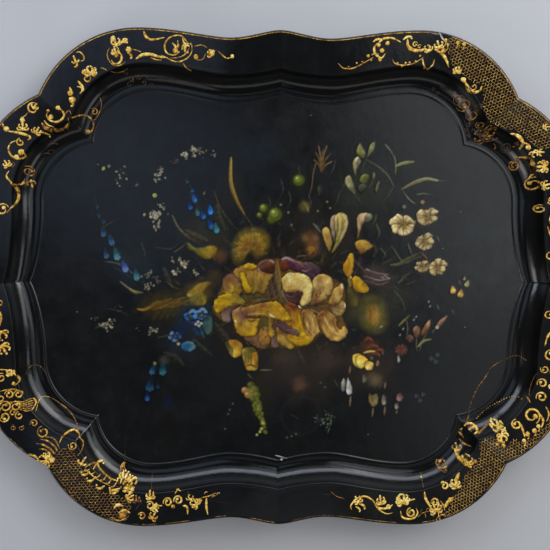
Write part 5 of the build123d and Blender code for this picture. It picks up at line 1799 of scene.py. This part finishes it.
def gild_near_right(g):
    """Scrolls round the near right corner, and its panel of mesh."""
    g.stroke((95, -293.5), (94, -289), (98.5, -283.5), (105, -279), (114, -278), (123.5, -283.5),
        (129.5, -293), (140, -299.5), (149, -298.5), w=4.0, tone=0.72)
    g.fan(104, -284, 120, 220, 5, 8, 4.6, 0.78)
    g.leaf(105, -287, -30, 10, 5, 0.75)
    g.leaf(100, -290, -40, 9, 4, 0.7)
    g.fan(134, -286.5, 100, 180, 5, 9.5, 5, 0.78)
    g.stroke((125.5, -288), (132, -293), (141, -292.5), (149, -288.5), w=5.0, tone=0.75)
    g.bud(143.5, -291, 3.8, 0.76)
    g.fan(162, -285, 100, 250, 8, 12, 5.4, 0.8)
    g.stroke((160, -286), (169, -284), (178.5, -281.5), w=5.2, belly=0.3, tone=0.76)
    g.bud(157, -281, 3.2, 0.76)
    g.stroke((159, -296), (161, -303.5), (168, -306.5), (177, -305), (181.5, -299),
        (179.5, -292.5), w=4.2, tone=0.74)
    g.curl(173, -298.5, 6, 100, 1.2, 4.4, 0.74)
    g.stroke((181, -304.5), (188, -299), (197, -297), (206, -300), w=1.4, tone=0.5)
    for x, y, angle in ((186, -300, 80), (193, -298, 70), (200, -298, -60), (190, -299, -70)):
        g.leaf(x, y, angle, 6, 1.6, 0.5)
    g.stroke((191, -272), (192, -280), (197, -289), (203, -297), w=5.4, tone=0.76)
    g.curl(204.5, -285.5, 5.4, 200, -1.1, 3.6, 0.72)
    g.fan(205, -295.5, 110, 240, 7, 11, 5, 0.78)
    g.stroke((211, -283), (215, -289), (217, -296), w=3.2, tone=0.66)
    g.fan(209, -303, -20, 200, 4, 9, 3, 0.6)
    g.stroke((216.5, -292), (221, -285), (228, -278.5), w=7.4, tone=0.78)
    g.bud(224, -282, 3.6, 0.8)
    g.curl(217, -264.5, 5.2, 160, -1.1, 4.0, 0.76)
    g.fan(231, -264, 110, 240, 6, 9, 5.6, 0.78)
    g.stroke((236, -247), (232.5, -257), (231.5, -268), w=8.0, tone=0.74)
    g.fan(214, -247.5, 40, 120, 4, 13, 5, 0.46)
    g.stroke((235.5, -222), (238.5, -230.5), (244, -236.5), (251, -235.5), w=8.0, tone=0.7)
    g.fan(246.5, -234, 60, 240, 6, 9, 5.4, 0.76)
    g.bud(256, -232, 3.4, 0.45)
    g.stroke((245, -195), (242.5, -201), (246.5, -207), w=6.0, tone=0.42)
    g.stroke((241, -209), (246, -214), (253, -215), w=5.0, tone=0.4)
    g.fan(238.5, -224, 100, 100, 3, 11, 4.4, 0.55)
    g.stroke((247.5, -192), (252, -188.5), (259.5, -189.5), (263.5, -195), (257.5, -199.5), w=5.6,
        tone=0.7)
    g.leaf(252, -196, 20, 11, 5, 0.62)
    g.stroke((262, -199), (273, -190.5), (282, -184), w=3.4, tone=0.42)
    g.fan(287, -189, 110, 220, 6, 10, 6, 0.8)
    g.fan(290, -197, -60, 240, 6, 10, 5.6, 0.78)
    for x, y, r in ((288, -204, 3.4), (292, -210, 3.2), (284, -209, 2.4)):
        g.bud(x, y, r, 0.7)
    g.curl(309, -182.5, 6.6, 100, 1.2, 4.2, 0.74)
    g.stroke((314.5, -182), (317, -191), (319.5, -199), w=4.4, tone=0.74)
    g.curl(328, -171, 10.8, -60, 1.15, 4.8, 0.74)
    g.stroke((338, -168), (342, -177), (339.5, -186), w=5.0, tone=0.74)
    for x, y, r in ((331, -190, 3.6), (322.5, -194.5, 3.6), (318, -203, 3.0), (336, -184, 3.0)):
        g.bud(x, y, r, 0.78)
        g.leaf(x, y, -80, 6.5, 3.2, 0.65)
    g.curl(340, -146.5, 7, 200, -1.15, 3.8, 0.74)
    g.curl(340.5, -128.5, 6.4, 200, -1.15, 3.6, 0.74)
    g.curl(343, -110, 5.4, 160, 1.15, 2.8, 0.68)
    g.stroke((323, -147), (326, -154), w=3.0, tone=0.78)
    g.line((334, -115), (331, -124), (327, -138), (325, -146), w=1.1, tone=0.5)
    g.stroke((345, -158), (349, -168), (346, -178), w=3.4, tone=0.7)
    g.fan(354, -136, 20, 240, 5, 10, 5, 0.74)
    g.fan(354, -116, 20, 240, 5, 9, 5, 0.72)
    g.curl(350, -92, 8, 60, 1.1, 4, 0.72)
    g.stroke((342, -80), (346, -66), (354, -56), (356, -44), w=4.6, tone=0.72)
    g.curl(346, -40, 6, 20, 1.0, 3.2, 0.7)
    # beaded arcs over the floor and the cove
    g.beads((250, -190), (254, -178), (255, -170), (258, -158), (265.5, -140.5), (275, -127),
        (282, -115), (293, -106.5), (299, -104), step=1.9, w=2.2, tone=0.3)
    g.beads((303.5, -101), (311.5, -98), (319, -98), (326, -102.5), step=2.6, w=1.7, tone=0.42)
    g.beads((264.5, -181.5), (273, -173), (288, -162.5), (300.5, -155.5), (307, -152), (314, -150),
        (320.5, -153), step=3.4, w=1.7, tone=0.62)
    g.line((190.5, -255), (191, -262), (190.5, -272), w=0.9, tone=0.6)
    g.bud(190.7, -259.5, 1.4, 0.75)
    g.stroke((68, -271), (76, -277), (86, -280), w=1.6, tone=0.45)
    g.line((57, -273.5), (66, -275), w=0.8, tone=0.35)
    g.net([(228, -278), (238, -266), (242, -250), (253, -240), (262, -226), (262, -206),
        (276, -196), (283, -200), (296, -214), (304, -200), (318, -206), (330, -197), (342, -186),
        (352, -172), (360, -184), (330, -220), (302, -240), (290, -262), (262, -292), (236, -310),
        (212, -316), (208, -304), (220, -296)], 4.2, 3.5, 1.2, 0.66, -35)


RIM_POINTS, RIM_HALF, RIM_INSET = 1500, 0.9, 0.7
RIM_LEFT = 0.18  # the share of gold below which the line breaks


def gild_rim(g):
    """The gold line just inside the rolled edge, worn away here and there."""
    edge = outline(EDGE)
    edge, normal = (np.vstack([ring, ring[:1]]) for ring in (edge, outwards(edge)))
    reach = lengths(edge)
    dense = np.linspace(0, reach[-1], RIM_POINTS, endpoint=False)
    line, push = (np.stack([np.interp(dense, reach, part) for part in ring.T],
        -1) for ring in (edge, normal))
    x, y = line.T
    wear = waviness(x, y, 60, 41) + 0.5 * waviness(x, y, 14, 42)
    bare = (np.exp(-((x - 204)**2 + (y - 306)**2) / 22**2)
            + 0.8 * np.exp(-((x + 190)**2 + (y - 306)**2) / 30**2)
            + 0.75 * smooth(-y, 60, 150) + 0.35 * smooth(-x - y, 300, 420)
            + 0.2 * (np.abs(x) < 16))
    full = np.clip(1.15 + 0.35 * wear - bare, 0, 1)
    tone = 0.58 + 0.12 * waviness(x, y, 30, 43) - 0.14 * (y < -180)
    start = int(np.flatnonzero(full < RIM_LEFT)[0])
    order = np.roll(np.arange(RIM_POINTS), -start)
    run = []
    for k in [*order, None]:
        if k is not None and full[k] >= RIM_LEFT:
            run.append(k)
            continue
        if len(run) > 3:
            half = RIM_HALF * np.sqrt(full[run])
            g.ribbon(line[run] - push[run] * RIM_INSET, half, float(np.mean(tone[run])) + 0.04,
                0.1, 4)
        run = []


def wear_and_crease_highlights(g):
    """Small chips, scratches and rubs down to the pale ground, and pale painted highlights on
    creases and ridge.
    """
    g.stroke((194, 312), (199, 304), (205, 299), w=3.4, belly=0.4, tone=0.8)
    g.line((205, 299), (212, 298), (222, 301), w=1.2, tone=0.5)
    g.stroke((180, 312), (190, 309), (198, 309), w=2.4, tone=0.35)
    g.stroke((-4, -232), (3, -234), (12, -236), w=3.0, tone=0.7)
    g.bud(5, -238, 1.8, 0.8)
    # pale painted highlights along the mitre creases of the near corners, from the well's cusps
    # towards the arris
    for x, y, w in ((-236, -176, 1.4), (-243, -184, 1.2), (240, -180, 1.4)):
        g.line((x, y), (x + 6 * math.copysign(1, x), y - 7), w=w, tone=0.5)
    g.line((-246, -188), (-254, -197), (-262, -204), w=1.3, tone=0.75)
    for start, end, tone in (((-214, 120), (-206, 126), 0.22), ((60, -182), (74, -176), 0.2),
            ((-40, 206), (-28, 208), 0.2), ((206, 120), (214, 112), 0.25),
            ((-150, -190), (-140, -196), 0.22), ((226, 60), (230, 52), 0.28),
            ((150, 196), (158, 192), 0.25), ((-254, 20), (-250, 12), 0.22)):
        g.line(start, end, w=0.6, tone=tone, lift=0.06)
    for x, y in ((40, 214), (214, 44), (236, 92), (-232, 150), (-70, -196), (120, -204),
            (246, -60), (-262, -40)):
        g.bud(x, y, 0.9, 0.45)
    # rubbed ridge along the arris: worn lacquer with a pale painted highlight, brighter in the
    # near left quarter
    ridge = outline(ARRIS)
    for first in range(0, len(ridge), 24):
        part = ridge[first:first + 18]
        rub = waviness(*part.T, 90, 71)
        if rub.mean() > 0.1 and len(part) > 4:
            tone = 0.36 + 0.14 * (part[0, 0] < 0) * (part[0, 1] < 0)
            g.ribbon(part, 0.35 + 0.2 * rub.clip(0, 1), tone, 0.05, 3)


# ------------------------------------------------------------------------------- laying it down

def gilding_material():
    """Gold leaf and shell gold, shaded with brown, with painted highlights and shade, rubbed thin.
    """
    n = Nodes("gilding")
    mottle = n.math("MULTIPLY", n.math("SUBTRACT", n.noise(330, 3, 0.6), 0.54), 1.25)
    patchy = n.math("MULTIPLY", n.math("SUBTRACT", n.noise(90, 1), 0.5), 0.5)
    # gold_shade holds the gold's own tone together with the strokes' painted highlights and
    # painted shade
    shade = n.math("ADD", n.attribute("gold_shade"), n.math("ADD", mottle, patchy))
    tone = n.ramp(shade, (0.0, (0.012, 0.006, 0.003)), (0.25, (0.1, 0.035, 0.005)),
                  (0.44, (0.32, 0.135, 0.012)), (0.6, (0.64, 0.32, 0.022)),
                  (0.76, (0.92, 0.58, 0.08)), (0.97, (1.0, 0.86, 0.34)))
    worn = n.ramp(n.noise(900, 4, 0.65), (0.36, 0.35), (0.5, 1.0))
    n.link(n.mix(worn, (0.02, 0.015, 0.01), tone), n.shader.inputs["Base Color"])
    n.link(n.ramp(n.noise(500, 3), (0.3, 0.32), (0.7, 0.5)), n.shader.inputs["Roughness"])
    n.bump(n.noise(1400, 3), 0.0001, 0.5)
    n.set(Metallic=0.15)
    return n.material


def worn_and_highlight_material():
    """Pale grey ground and bare filler where the lacquer has gone, and pale painted highlights."""
    n = Nodes("worn_lacquer_and_highlights")
    tone = n.ramp(n.attribute("gold_shade"), (0.1, (0.02, 0.02, 0.021)), (0.5, (0.2, 0.19, 0.18)),
                  (0.9, (0.62, 0.58, 0.52)))
    grit = n.ramp(n.noise(900, 3), (0.35, 0.3), (0.6, 1.0))
    n.link(n.mix(grit, BARE_GROUND, tone), n.shader.inputs["Base Color"])
    n.set(Roughness=0.55)
    return n.material


def oil_paint_material():
    """Translucent oil colours under varnish, which fade out into the lacquer."""
    n = Nodes("oil_paint")
    paint = n.attribute("paint")
    cover = n.attribute("paint_cover")
    bristle = n.ramp(n.noise(1100, 3, 0.6), (0.25, 0.8), (0.75, 1.12))
    under = n.lacquer_colour()
    oils = n.mix(1.0, paint, bristle, "MULTIPLY")
    n.link(n.mix(cover, under, oils), n.shader.inputs["Base Color"])
    n.lacquer_surface()
    return n.material


def make_bouquet(material):
    """Paints the bouquet and turns the painted part of the grid into thin raised tiles."""
    canvas = Canvas(*np.array(PAINTED_AREA), PAINT_PITCH)
    paint_bouquet(canvas)
    painted = canvas.cover > BARELY_PAINTED
    heights = SHEET + PAINT_LIFT + np.where(painted, PAINT_FILM + canvas.relief, 0.0)
    step = (canvas.nx + PAINT_TILES - 1) // PAINT_TILES
    quad = painted[:-1, :-1] | painted[1:, :-1] | painted[:-1, 1:] | painted[1:, 1:]
    for number, first in enumerate(range(0, canvas.nx - 1, step), 1):
        rows, cols = np.nonzero(quad[:, first:first + step])
        cols = cols + first
        corners = [(rows, cols), (rows, cols + 1), (rows + 1, cols + 1), (rows + 1, cols)]
        index = np.stack([r * canvas.nx + c for r, c in corners], -1)
        used, faces = np.unique(index, return_inverse=True)
        r, c = used // canvas.nx, used % canvas.nx
        x, y = canvas.low[0] + c * canvas.pitch, canvas.low[1] + r * canvas.pitch
        vertices = np.column_stack([x, y, heights[r, c]])
        piece = make_mesh(f"bouquet_{number}", vertices, faces.reshape(-1, 4).tolist())
        cover = canvas.cover[r, c]
        shown = canvas.colour[r, c] / np.maximum(cover, 0.02)[:, None]
        linear = np.where(shown <= 0.04045, shown / 12.92, ((shown + 0.055) / 1.055)**2.4)
        linear = np.clip(linear * 0.88 - 0.008, 0.001, 1)  # darkened by the varnish
        for name, values in (("paint", linear), ("paint_cover", np.repeat(cover[:, None], 3, 1))):
            layer = piece.data.color_attributes.new(name, "FLOAT_COLOR", "POINT")
            colour = np.column_stack([np.clip(values, 0, 1), np.ones(len(r))])
            layer.data.foreach_set("color", colour.ravel())
        settle(piece, material)


# ------------------------------------------------------------------------------------ the studio

FLOOR_REACH, FLOOR_LEVEL = 6000, -0.3
WORLD_COLOUR, WORLD_STRENGTH = (0.95, 0.97, 1.0, 1), 0.06
CENTRE = (0, 0, 0)
# Soft lights: name, place, aim, size, radiance and colour
LIGHTS = [
    ("top_window", (0.0, 1.95, 0.95), CENTRE, (2.4, 0.75), 3.8, (0.8, 0.87, 1.0)),
    ("upper_right_window", (1.45, 1.25, 1.1), CENTRE, (1.25, 1.05), 4.8, (0.98, 0.97, 0.96)),
    ("upper_left_window", (-1.55, 1.1, 1.05), CENTRE, (1.3, 0.9), 4.2, (0.82, 0.88, 1.0)),
    ("right_window", (1.9, 0.35, 1.0), CENTRE, (0.9, 0.8), 2.6, (0.9, 0.95, 1.0)),
    ("lower_right_window", (1.65, -1.0, 0.85), CENTRE, (1.3, 0.5), 1.8, (0.95, 0.97, 1.0)),
    ("lower_left_window", (-1.45, -1.3, 0.95), CENTRE, (1.1, 0.8), 3.4, (0.98, 0.97, 0.95)),
    ("near_window", (0.2, -1.95, 0.85), CENTRE, (1.8, 0.5), 0.75, (1.0, 0.97, 0.93)),
    ("right_card", (0.93, 0.42, 1.7), (0.2, 0.1, 0), (1.16, 1.1), 1.05, (0.86, 0.94, 1.0)),
    ("lower_card", (0.95, -0.5, 1.7), (0.2, -0.1, 0), (1.0, 0.7), 0.5, (0.92, 0.96, 1.0)),
    ("left_card", (-0.54, 0.26, 1.75), (-0.2, 0.1, 0), (0.62, 0.88), 0.68, (0.55, 0.72, 1.0)),
    ("upper_right_sheer", (1.2, 1.0, 1.5), CENTRE, (1.9, 1.4), 0.75, (0.97, 0.97, 1.0)),
    ("top_sheer", (-0.3, 1.55, 1.4), CENTRE, (2.6, 0.9), 0.55, (0.85, 0.9, 1.0)),
    ("lower_left_sheer", (-1.1, -1.1, 1.25), CENTRE, (1.4, 1.0), 0.7, (0.95, 0.95, 1.0)),
    ("near_card", (0.05, -0.42, 1.75), (0, -0.2, 0), (0.6, 0.28), 0.28, (0.9, 0.95, 1.0)),
]


def make_floor():
    corners = [(x * FLOOR_REACH, y * FLOOR_REACH, FLOOR_LEVEL)
               for x, y in ((-1, -1), (1, -1), (1, 1), (-1, 1))]
    floor = make_mesh("studio_floor", corners, [(0, 1, 2, 3)])
    floor.data.materials.append(floor_material())


def make_light(name, place, aim, size, radiance, colour):
    """A rectangular soft light that faces a point, by its brightness to the eye."""
    data = bpy.data.lights.new(name, "AREA")
    data.shape = "RECTANGLE"
    data.size, data.size_y = size
    data.energy = radiance * math.pi * size[0] * size[1]
    data.color = colour
    light = bpy.data.objects.new(name, data)
    light.location = place
    light.rotation_euler = (Vector(aim) - Vector(place)).to_track_quat("-Z", "Y").to_euler()
    bpy.context.scene.collection.objects.link(light)


def light_scene():
    world = bpy.data.worlds.new("studio")
    world.use_nodes = True
    back = world.node_tree.nodes["Background"]
    back.inputs["Color"].default_value = WORLD_COLOUR
    back.inputs["Strength"].default_value = WORLD_STRENGTH
    bpy.context.scene.world = world
    for light in LIGHTS:
        make_light(*light)


# The viewpoint: nearly square on, tipped a little so that the far edge is nearer
CAMERA_DISTANCE = 0.9786
CAMERA_TILT = math.radians(5.07)
CAMERA_PAN = math.radians(1.46)
CAMERA_ROLL = math.radians(-0.14)
CAMERA_OFFSET = (0.0049, -0.0087)
FOCAL_TO_FRAME = 15 / 11  # the lens's length over the width of the frame
SENSOR = 36.0


def make_camera():
    data = bpy.data.cameras.new("camera")
    data.sensor_width = SENSOR
    data.lens = SENSOR * FOCAL_TO_FRAME
    camera = bpy.data.objects.new("camera", data)
    bpy.context.scene.collection.objects.link(camera)
    turn = (Matrix.Rotation(CAMERA_ROLL, 3, "Z") @ Matrix.Rotation(CAMERA_PAN, 3, "Y")
            @ Matrix.Rotation(CAMERA_TILT, 3, "X"))
    place = turn.transposed() @ -Vector((*CAMERA_OFFSET, -CAMERA_DISTANCE))
    camera.matrix_world = Matrix.Translation(place) @ turn.transposed().to_4x4()
    bpy.context.scene.camera = camera


# ---------------------------------------------------------------------------------------- making

def settle(piece, material):
    """Gives a finished piece its material and body."""
    piece.data.materials.append(material)
    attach(piece, "root")
    return piece


bpy.context.scene.view_settings.view_transform = "Standard"
make_camera()
light_scene()
make_floor()

pan = settle(make_tray(), lacquer_material())
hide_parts("tray_pan")
surface = BVHTree.FromPolygons([v.co for v in pan.data.vertices],
                               [p.vertices for p in pan.data.polygons])
gold = gilding_material()
for name, work in (("gilding_far_left", gild_far_left), ("gilding_far_right", gild_far_right),
                   ("gilding_near_left", gild_near_left), ("gilding_near_right", gild_near_right),
                   ("gilding_rim", gild_rim)):
    gilding = Gilding(len(name))
    work(gilding)
    gilding.lay_down(name, surface, gold)
# chips, scratches and the pale painted highlights on the corner creases and along the ridge
marks = Gilding(3)
wear_and_crease_highlights(marks)
marks.lay_down("chips_scratches_and_highlights", surface, worn_and_highlight_material())
make_bouquet(oil_paint_material())
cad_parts["rim_wire"].data.materials.clear()
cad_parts["rim_wire"].data.materials.append(wire_material())
